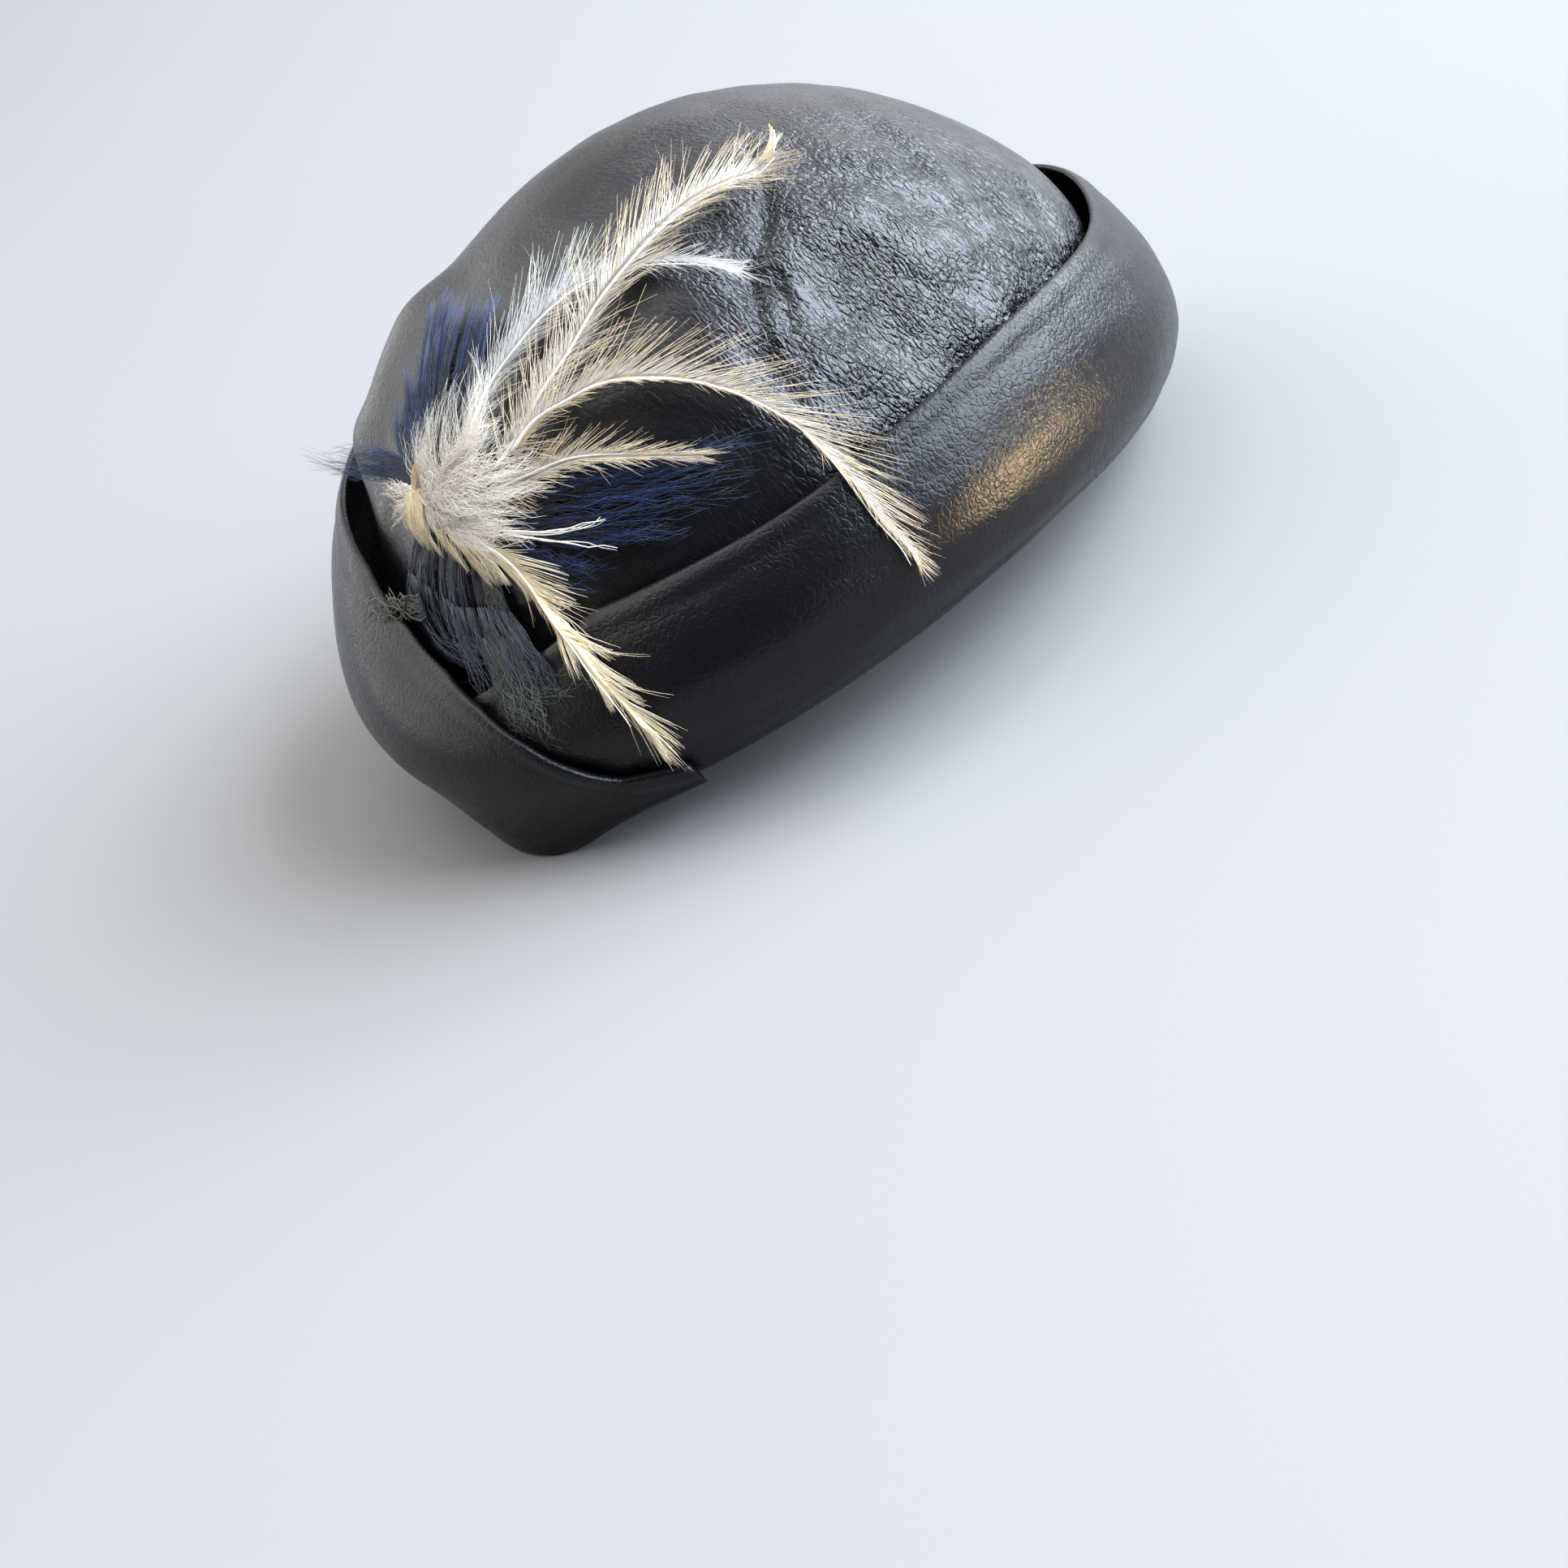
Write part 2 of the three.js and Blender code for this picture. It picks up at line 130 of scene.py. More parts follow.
class Stock:
    """Gathers closed shapes into one mesh, with named numbers at each of its points."""

    def __init__(self) -> None:
        """Starts empty."""
        self.points: list[np.ndarray] = []
        self.quads: list[np.ndarray] = []
        self.triangles: list[np.ndarray] = []
        self.marks: dict[str, list[np.ndarray]] = {}
        self.count = 0

    def add(self, points: np.ndarray, quads: np.ndarray, triangles: np.ndarray, **marks: np.ndarray) -> None:
        """Adds a shape.

        Args:
            points: its points, n by 3.
            quads: its four-sided faces, as rows of indices into points.
            triangles: its three-sided faces.
            **marks: numbers at its points, n of each, by name.
        """
        self.points.append(points)
        self.quads.append(quads + self.count)
        self.triangles.append(triangles + self.count)
        for name, values in marks.items():
            self.marks.setdefault(name, []).append(values)
        self.count += len(points)

    def tube(self, rings: np.ndarray, **marks: np.ndarray) -> None:
        """Adds a tube through rings, closed at both ends by fans round the middle of its end rings.

        Args:
            rings: points, rows by columns by 3; each row is a ring that closes on itself.
            **marks: numbers, rows by columns, by name.
        """
        rows, columns = rings.shape[:2]
        here = np.arange(rows * columns).reshape(rows, columns)
        there = np.roll(here, -1, axis=1)
        quads = np.stack([here[:-1], there[:-1], there[1:], here[1:]], -1).reshape(-1, 4)
        start, end = rows * columns, rows * columns + 1
        fans = [
            np.stack([there[0], here[0], np.full(columns, start)], -1),
            np.stack([here[-1], there[-1], np.full(columns, end)], -1),
        ]
        points = np.concatenate([rings.reshape(-1, 3), rings[:1].mean(1), rings[-1:].mean(1)])
        closed = {k: np.concatenate([v.ravel(), v[0, :1], v[-1, :1]]) for k, v in marks.items()}
        self.add(points, quads, np.concatenate(fans), **closed)

    def needles(self, lines: np.ndarray, across: np.ndarray, up: np.ndarray, width: np.ndarray,
                thickness: float, **marks: np.ndarray) -> None:
        """Adds thin three-sided needles along lines, each closed at its root and its tip.

        A needle's ring at a point p is p - across * width / 2, p + across * width / 2 and
        p + up * thickness, where the thickness shrinks with the width towards the tip.

        Args:
            lines: centre lines, needles by rings by 3.
            across: sideways directions, of the same shape.
            up: outward directions, of the same shape.
            width: full widths, needles by rings.
            thickness: the height of a needle's ridge at its full width.
            **marks: numbers, needles by rings, by name.
        """
        count, rows = lines.shape[:2]
        half = across * width[..., None] / 2
        ridge = up * (thickness * width / width.max())[..., None]
        rings = np.stack([lines - half, lines + half, lines + ridge], 2)
        here = np.arange(count * rows * 3).reshape(count, rows, 3)
        there = np.roll(here, -1, axis=2)
        quads = np.stack([here[:, :-1], there[:, :-1], there[:, 1:], here[:, 1:]], -1)
        caps = np.concatenate([here[:, 0, ::-1], here[:, -1]])
        spread = {k: np.repeat(v.ravel(), 3) for k, v in marks.items()}
        self.add(rings.reshape(-1, 3), quads.reshape(-1, 4), caps, **spread)

    @staticmethod
    def volume(points: np.ndarray, triangles: np.ndarray) -> float:
        """The sum over triangles of a . (b x c) / 6, which is negative if they face inwards."""
        a, b, c = (points[triangles[:, i]] for i in range(3))
        return float(np.einsum("ij,ij->", a, np.cross(b, c)) / 6)

    def make(self, name: str, finish: bpy.types.Material) -> bpy.types.Object:
        """Makes the mesh object, at the origin, with its faces outwards.

        Args:
            name: the object's name.
            finish: its material.

        Returns:
            The new object.
        """
        points = np.concatenate(self.points)
        quads, triangles = np.concatenate(self.quads), np.concatenate(self.triangles)
        halves = np.concatenate([triangles, quads[:, :3], quads[:, [0, 2, 3]]])
        if self.volume(points, halves) < 0:
            quads, triangles = quads[:, ::-1], triangles[:, ::-1]
        mesh = bpy.data.meshes.new(name)
        mesh.vertices.add(len(points))
        mesh.vertices.foreach_set("co", points.astype(np.float32).ravel())
        mesh.loops.add(quads.size + triangles.size)
        corners = np.concatenate([quads.ravel(), triangles.ravel()])
        mesh.loops.foreach_set("vertex_index", corners.astype(np.int32))
        mesh.polygons.add(len(quads) + len(triangles))
        starts = np.concatenate([np.arange(len(quads)) * 4, quads.size + np.arange(len(triangles)) * 3])
        mesh.polygons.foreach_set("loop_start", starts.astype(np.int32))
        mesh.polygons.foreach_set("use_smooth", np.ones(len(starts), bool))
        for key, parts in self.marks.items():
            mark = mesh.attributes.new(key, "FLOAT", "POINT")
            mark.data.foreach_set("value", np.concatenate(parts).astype(np.float32))
        mesh.update(calc_edges=True)
        mesh.materials.append(finish)
        made = bpy.data.objects.new(name, mesh)
        bpy.context.scene.collection.objects.link(made)
        log.info("%s: %d faces", name, len(starts))
        return made


# ------------------------------------------------------------------ the crown as a surface


@dataclass(frozen=True)
class Fold:
    """A soft fold or dent: it lifts the leather beside a line through places on the plain dome."""

    line: tuple[tuple[float, float], ...]
    half_width: float
    lift: float


@dataclass(frozen=True)
class Dome:
    """The crown's form: an upright wall up to the spring line, and a half ellipsoid over it.

    Roundness is 1 for an ellipse and more for a section that bends sooner. The rim arches up at the sides, is
    lifted at the front and is flattened where it stands on the floor.
    """

    half_breadth: float = 0.0793
    half_length: float = 0.0919
    height: float = 0.1093
    spring: float = 0.0329
    roundness: float = 1.06
    wall_climb: float = 30.0
    rim_half_breadth: float = 0.0802
    rim_half_length: float = 0.0977
    arch: float = 0.0172
    front_lift: float = 0.0083
    flattened: float = 0.0012
    folds: tuple[Fold, ...] = (
        Fold(((-44, 47), (-40, 34)), half_width=0.013, lift=0.0055),
        Fold(((132, 18), (150, 18)), half_width=0.020, lift=0.0020),
        Fold(((77, 38), (80, 36)), half_width=0.015, lift=-0.0032),
        Fold(((80, 47), (98, 36)), half_width=0.008, lift=0.0012),
        Fold(((79, 58), (64, 49)), half_width=0.005, lift=-0.0010),
        Fold(((64, 49), (59, 36)), half_width=0.005, lift=-0.0010),
    )

    @property
    def rise(self) -> float:
        """Height of the dome over the spring line."""
        return self.height - self.spring

    def plain(self, turn: np.ndarray, climb: np.ndarray) -> np.ndarray:
        """Points of the dome before its folds.

        With girth = cos(climb) ** roundness and z = spring + rise * sin(climb) ** roundness, the point is
        (breadth * girth * sin(turn), -length * girth * cos(turn), z). Under the spring line the wall goes
        straight down, and it flares to the rim's size with the square of the way down.

        Args:
            turn: degrees round the hat.
            climb: degrees up the crown.

        Returns:
            Points, with the angles' shape and a last axis of 3.
        """
        turn, climb = np.broadcast_arrays(np.asarray(turn, float), np.asarray(climb, float))
        angle = np.radians(np.clip(climb, 0, 90))
        girth = np.maximum(np.cos(angle), 0) ** self.roundness
        below = np.minimum(climb / self.wall_climb, 0)
        breadth = mix(self.half_breadth, self.rim_half_breadth, below**2)
        length = mix(self.half_length, self.rim_half_length, below**2)
        height = self.spring * (1 + below) + self.rise * np.sin(angle) ** self.roundness
        bearing = np.radians(turn)
        return np.stack([breadth * girth * np.sin(bearing), -length * girth * np.cos(bearing), height], -1)

    def outward(self, points: np.ndarray) -> np.ndarray:
        """The way straight out of the leather: (x / breadth^2, y / length^2, (z - spring) / rise^2)."""
        over = np.maximum(points[..., 2] - self.spring, 0)
        return unit(np.stack([
            points[..., 0] / self.half_breadth**2,
            points[..., 1] / self.half_length**2,
            over / self.rise**2,
        ], -1))

    def lift(self, points: np.ndarray, folds: tuple[Fold, ...]) -> np.ndarray:
        """How far folds lift the leather: the sum of each one's lift by a bell of the distance to its line.

        Args:
            points: points of the plain dome.
            folds: the folds that count.

        Returns:
            Metres, one for each point.
        """
        total = np.zeros(points.shape[:-1])
        for fold in folds:
            stops = self.plain(*np.array(fold.line, float).T)
            nearest = np.full(total.shape, np.inf)
            for a, b in zip(stops[:-1], stops[1:]):
                way = b - a
                share = np.clip((points - a) @ way / (way @ way), 0, 1)[..., None]
                nearest = np.minimum(nearest, np.linalg.norm(points - a - share * way, axis=-1))
            total += fold.lift * bell(nearest, fold.half_width)
        return total

    def place(self, turn: np.ndarray, climb: np.ndarray, out: np.ndarray) -> np.ndarray:
        """Points that lie out metres over the folded leather."""
        points = self.plain(turn, climb)
        return points + self.outward(points) * (out + self.lift(points, self.folds))[..., None]

    def locate(self, points: np.ndarray) -> tuple[np.ndarray, np.ndarray]:
        """The turn and climb of the leather beneath points that lie near it.

        Args:
            points: the points.

        Returns:
            Their turns and climbs.
        """
        across, along = points[..., 0] / self.half_breadth, -points[..., 1] / self.half_length
        over = points[..., 2] - self.spring
        steep = np.degrees(np.arctan2(over / self.rise, np.hypot(across, along)))
        climb = np.where(over > 0, steep, self.wall_climb * over / self.spring)
        return np.degrees(np.arctan2(across, along)), climb

    def settle(self, points: np.ndarray, out: np.ndarray) -> np.ndarray:
        """Moves points to lie out metres over the leather beneath them."""
        return self.place(*self.locate(points), out)

    def rim(self, turn: np.ndarray) -> np.ndarray:
        """The rim's height: arch * sin(turn)^2 + front_lift * (1 + cos(turn)) / 2 - flattened, at least 0.

        Args:
            turn: degrees round the hat.

        Returns:
            Metres over the floor.
        """
        bearing = np.radians(turn)
        front = self.front_lift * (1 + np.cos(bearing)) / 2
        return np.maximum(self.arch * np.sin(bearing) ** 2 + front - self.flattened, 0)


# ------------------------------------------------------------------ shader maths and materials


class Wire:
    """An output socket that takes part in expressions, each of which adds its Math node."""

    def __init__(self, bench: Bench, socket: bpy.types.NodeSocket) -> None:
        """Wraps socket, whose nodes are made on bench."""
        self.bench = bench
        self.socket = socket

    def math(self, operation: str) -> Wire:
        """The result of a Math node on this value alone."""
        return self.bench.math(operation, self)

    def __add__(self, other: Wire | float) -> Wire:
        """self + other."""
        return self.bench.math("ADD", self, other)

    __radd__ = __add__

    def __sub__(self, other: Wire | float) -> Wire:
        """self - other."""
        return self.bench.math("SUBTRACT", self, other)

    def __rsub__(self, other: Wire | float) -> Wire:
        """other - self."""
        return self.bench.math("SUBTRACT", other, self)

    def __mul__(self, other: Wire | float) -> Wire:
        """self * other."""
        return self.bench.math("MULTIPLY", self, other)

    __rmul__ = __mul__

    def between(self, low: float, high: float) -> Wire:
        """A soft step of this value from low to high."""
        made = self.bench.node("ShaderNodeMapRange", {"interpolation_type": "SMOOTHSTEP"},
                               {"Value": self, "From Min": low, "From Max": high})
        return Wire(self.bench, made.outputs["Result"])


class Bench:
    """The node tree of one material, with short ways to add to it."""

    def __init__(self, name: str) -> None:
        """Makes an empty material called name."""
        self.material = bpy.data.materials.new(name)
        self.clear(self.material)

    def clear(self, owner: bpy.types.Material | bpy.types.World) -> None:
        """Takes the node tree of owner, emptied.

        Args:
            owner: a material or the world.
        """
        owner.use_nodes = True
        self.tree = owner.node_tree
        self.tree.nodes.clear()

    @classmethod
    def of_world(cls, world: bpy.types.World) -> Bench:
        """The bench of a world's nodes.

        Args:
            world: the world.

        Returns:
            Its bench.
        """
        bench = cls.__new__(cls)
        bench.clear(world)
        return bench

    def node(self, kind: str, settings: dict | None = None, inputs: dict | None = None) -> bpy.types.Node:
        """Adds a node.

        Args:
            kind: its type, such as "ShaderNodeMath".
            settings: its properties by name, such as a Math node's operation, which are set first.
            inputs: values or wires of its sockets, by name or number.

        Returns:
            The new node.
        """
        made = self.tree.nodes.new(kind)
        for key, value in (settings or {}).items():
            setattr(made, key, value)
        for key, value in (inputs or {}).items():
            if isinstance(value, Wire):
                self.tree.links.new(value.socket, made.inputs[key])
            else:
                made.inputs[key].default_value = value
        return made

    def math(self, operation: str, *values: Wire | float) -> Wire:
        """The result of a Math node."""
        made = self.node("ShaderNodeMath", {"operation": operation}, dict(enumerate(values)))
        return Wire(self, made.outputs[0])

    def mark(self, name: str) -> Wire:
        """The mesh's number called name."""
        return Wire(self, self.node("ShaderNodeAttribute", {"attribute_name": name}).outputs["Fac"])

    def position(self) -> Wire:
        """The place on the object, in metres."""
        return Wire(self, self.node("ShaderNodeTexCoord").outputs["Object"])

    def vector(self, operation: str, *values: Wire | tuple[float, float, float], output: int = 0) -> Wire:
        """The result of a Vector Math node: output 0 is its vector and 1 its number."""
        made = self.node("ShaderNodeVectorMath", {"operation": operation}, dict(enumerate(values)))
        return Wire(self, made.outputs[output])

    def noise(self, where: Wire, scale: float, detail: float = 2.0, roughness: float = 0.5,
              distortion: float = 0.0, output: str = "Fac") -> Wire:
        """Noise at a place: its grain is about 1 / scale metres across."""
        made = self.node("ShaderNodeTexNoise", None, {
            "Vector": where,
            "Scale": scale,
            "Detail": detail,
            "Roughness": roughness,
            "Distortion": distortion,
        })
        return Wire(self, made.outputs[output])

    def cells(self, where: Wire, scale: float, feature: str, **inputs: float) -> Wire:
        """Voronoi distance at a place, for cells about 1 / scale metres across."""
        made = self.node("ShaderNodeTexVoronoi", {"feature": feature},
                         {"Vector": where, "Scale": scale, **inputs})
        return Wire(self, made.outputs["Distance"])

    def blend(self, share: Wire, a: Wire | Colour, b: Wire | Colour) -> Wire:
        """The colour a where share is 0 and b where it is 1.

        Args:
            share: the share of b.
            a: a colour or a wire.
            b: the other one.

        Returns:
            The mixed colour.
        """
        made = self.node("ShaderNodeMix", {"data_type": "RGBA"})
        for key, value in {0: share, 6: a, 7: b}.items():
            if isinstance(value, Wire):
                self.tree.links.new(value.socket, made.inputs[key])
            else:
                made.inputs[key].default_value = (*value, 1.0)
        return Wire(self, made.outputs[2])

    def bump(self, height: Wire, distance: float) -> Wire:
        """The normal that a height of distance metres gives."""
        made = self.node("ShaderNodeBump", None, {"Height": height, "Distance": distance, "Strength": 1.0})
        return Wire(self, made.outputs["Normal"])

    def surface(self, lets_through: float = 0.0, through: Colour = (1.0, 1.0, 1.0),
                **inputs: Wire | float | tuple) -> bpy.types.Material:
        """Closes the tree with a Principled shader.

        Args:
            lets_through: the share of light that passes through to the far side.
            through: the colour of that light.
            **inputs: its sockets by name, with _ for a space.

        Returns:
            The finished material.
        """
        named = {key.replace("_", " "): value for key, value in inputs.items()}
        shader = self.node("ShaderNodeBsdfPrincipled", None, named)
        if lets_through:
            behind = self.node("ShaderNodeBsdfTranslucent", None, {"Color": (*through, 1.0)})
            shader = self.node("ShaderNodeMixShader", None, {
                0: lets_through, 1: Wire(self, shader.outputs[0]), 2: Wire(self, behind.outputs[0])})
        self.node("ShaderNodeOutputMaterial", None, {"Surface": Wire(self, shader.outputs[0])})
        return self.material


@dataclass(frozen=True)
class Leather:
    """Soft dyed leather: winding creases between small pebbles, deeper where the leather has been worked.

    Pebble, worm, swell, warp, mottle and patch are scales: what each makes is about 1 / scale metres across.
    Drift is how far the grain is warped, in metres, and draw how far it is stretched along slope, 0 to 1.
    Relief is the grain's height in metres. Even is the grain's strength everywhere, and added is what working
    adds to it.
    """

    name: str
    deep: Colour = (0.0016, 0.0016, 0.0019)
    pale: Colour = (0.0048, 0.0048, 0.0054)
    pebble: float = 1000.0
    worm: float = 620.0
    warp: float = 260.0
    swell: float = 150.0
    mottle: float = 75.0
    patch: float = 42.0
    drift: float = 0.0014
    relief: float = 0.00026
    even: float = 0.17
    added: float = 0.95
    rough: float = 0.32
    gloss: float = 0.40
    slope: Vector = field(default_factory=lambda: Vector((0.6, 0.0, -0.8)), hash=False)
    draw: float = 0.62

    def make(self) -> bpy.types.Material:
        """Makes the material. It reads the mesh's "worked" mark, which is 1 where the grain is strongest.

        A winding crease is where noise passes its middle value, so it is |noise - 0.5| near 0.

        Returns:
            The material.
        """
        bench = Bench(self.name)
        where, worked = bench.position(), bench.mark("worked")
        drift = bench.vector("SUBTRACT", bench.noise(where, self.warp, output="Color"), (0.5, 0.5, 0.5))
        warped = bench.vector("ADD", where, bench.vector("MULTIPLY", drift, (self.drift,) * 3))
        downhill = bench.vector("DOT_PRODUCT", warped, self.slope, output=1)
        drawn = bench.vector("SUBTRACT", warped, bench.vector("MULTIPLY", downhill, self.slope * self.draw))
        pebbles = 1.0 - bench.cells(warped, self.pebble, "SMOOTH_F1", Smoothness=0.4).between(0.1, 0.75)
        coarse = (bench.noise(drawn, self.worm, 1.5) - 0.5).math("ABSOLUTE").between(0.0, 0.055)
        fine = (bench.noise(where, self.worm * 1.9, 1.0) - 0.5).math("ABSOLUTE").between(0.0, 0.08)
        soft = bench.noise(drawn, self.swell, 3.0, 0.55, 0.6)
        edges = bench.cells(drawn, self.pebble * 0.72, "DISTANCE_TO_EDGE").between(0.0, 0.22)
        mottle = bench.noise(where, self.mottle).between(0.35, 0.65)
        strength = (self.even + self.added * worked) * (0.55 + 0.8 * mottle)
        grain = (pebbles * 0.35 + edges * 0.7 + coarse * 0.35 + fine * 0.15) * strength
        grain = grain + soft * (0.5 + 2.6 * worked)
        patches = bench.noise(where, self.patch, 4.0, 0.6)
        return bench.surface(
            Base_Color=bench.blend((patches * 0.6 + coarse * 0.4).between(0.25, 0.85), self.deep, self.pale),
            Roughness=self.rough + (0.5 - patches) * 0.14 + (0.5 - coarse) * 0.10 - worked * 0.04,
            Normal=bench.bump(grain, self.relief),
            Specular_IOR_Level=self.gloss,
        )


@dataclass(frozen=True)
class Vane:
    """Feather: barbs that go from one colour at the shaft to another at their tips, each a little different.

    The change comes over the turns_at part of a barb's length. Barbs whose own number is low, under dulls_at,
    are dull.
    """

    name: str
    root: Colour
    tip: Colour
    quill: Colour
    dull: Colour
    dulls_at: tuple[float, float] = (0.0, 0.45)
    turns_at: tuple[float, float] = (0.35, 0.95)
    rough: float = 0.62
    lets_through: float = 0.35

    def make(self) -> bpy.types.Material:
        """Makes the material, which reads the marks "reach", "strand" and "quill".

        Returns:
            The material.
        """
        bench = Bench(self.name)
        where = bench.position()
        reach, strand, quill = (bench.mark(name) for name in ("reach", "strand", "quill"))
        unevenly = reach + (strand - 0.5) * 0.5 + (bench.noise(where, 220.0) - 0.5) * 0.3
        barb = bench.blend(unevenly.between(*self.turns_at), self.root, self.tip)
        shade = bench.blend(strand.between(*self.dulls_at), self.dull, barb)
        return bench.surface(
            self.lets_through,
            tuple(0.45 * (root + tip) for root, tip in zip(self.root, self.tip)),
            Base_Color=bench.blend(quill, shade, self.quill),
            Roughness=self.rough - quill * 0.2 + (bench.noise(where, 900.0) - 0.5) * 0.15,
            Normal=bench.bump(bench.noise(where, 2600.0, 1.0), 0.00004),
        )


@dataclass(frozen=True)
class Cloth:
    """Woven lining: fine ribs across it and a soft sheen."""

    name: str
    dark: Colour
    light: Colour
    ribs: float

    def make(self) -> bpy.types.Material:
        """Makes the material, whose ribs follow the mesh's "rib" mark.

        Returns:
            The material.
        """
        bench = Bench(self.name)
        rib = (bench.mark("rib") * self.ribs).math("SINE") * 0.5 + 0.5
        fibre = bench.noise(bench.position(), 1800.0, 3.0, 0.6)
        return bench.surface(
            Base_Color=bench.blend(rib * 0.6 + fibre * 0.4, self.dark, self.light),
            Roughness=0.55 + fibre * 0.2,
            Normal=bench.bump(rib + fibre * 0.5, 0.00012),
            Sheen_Weight=0.3,
        )


class Finish(Enum):
    """The finishes of the hat's pieces, each with the name of the slot that it belongs to.

    A vane's colours are those of its roots, tips, quill and dull barbs.
    """

    CROWN = ("crown_leather", Leather("crown_finish"))
    CUFF = ("cuff_leather", Leather("cuff_finish", relief=0.00014, rough=0.34, gloss=0.25, draw=0.2))
    CREAM = ("cream_feather", Vane(
        "cream_vane", (0.75, 0.715, 0.65), (0.85, 0.71, 0.48), (0.97, 0.94, 0.88), (0.51, 0.426, 0.288)))
    WHITE = ("white_feather", Vane(
        "white_vane", (0.75, 0.745, 0.72), (0.79, 0.76, 0.67), (0.96, 0.94, 0.88), (0.474, 0.456, 0.402)))
    GOLDEN = ("golden_feather", Vane(
        "golden_vane", (0.95, 0.82, 0.55), (0.95, 0.84, 0.62), (0.97, 0.92, 0.80), (0.60, 0.43, 0.22),
        (0.04, 0.16), lets_through=0.25))
    DOWN = ("white_down", Vane(
        "down_vane", (0.95, 0.90, 0.81), (0.95, 0.89, 0.76), (0.92, 0.9, 0.86), (0.78, 0.70, 0.58),
        (0.0, 0.4), lets_through=0.2))
    NAVY = ("navy_feather", Vane(
        "navy_vane", (0.006, 0.008, 0.020), (0.030, 0.055, 0.16), (0.02, 0.02, 0.03), (0.006, 0.006, 0.008),
        (0.3, 0.6), rough=0.33, lets_through=0.1))
    SLATE = ("slate_feather", Vane(
        "slate_vane", (0.05, 0.058, 0.08), (0.20, 0.23, 0.29), (0.06, 0.065, 0.07), (0.015, 0.015, 0.018),
        (0.35, 0.6), rough=0.45, lets_through=0.1))
    MOSS = ("slate_feather", Vane(
        "moss_vane", (0.07, 0.075, 0.06), (0.15, 0.155, 0.12), (0.05, 0.05, 0.04), (0.09, 0.093, 0.072),
        lets_through=0.1))
    LINING = ("crown_leather", Cloth("lining_cloth", (0.006, 0.006, 0.008), (0.02, 0.02, 0.024), 2400.0))

    @cache
    def finish(self) -> bpy.types.Material:
        """The material, made once."""
        return self.value[1].make()


def seat(piece: bpy.types.Object, finish: Finish, *nodes: str) -> None:
    """Puts a piece on the hat's body, in place of CAD nodes.

    Args:
        piece: the finished piece.
        finish: its finish; not used.
        *nodes: the CAD nodes that it replaces.
    """
    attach(piece, "root")
    if nodes:
        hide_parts(*nodes)


# ------------------------------------------------------------------ crown


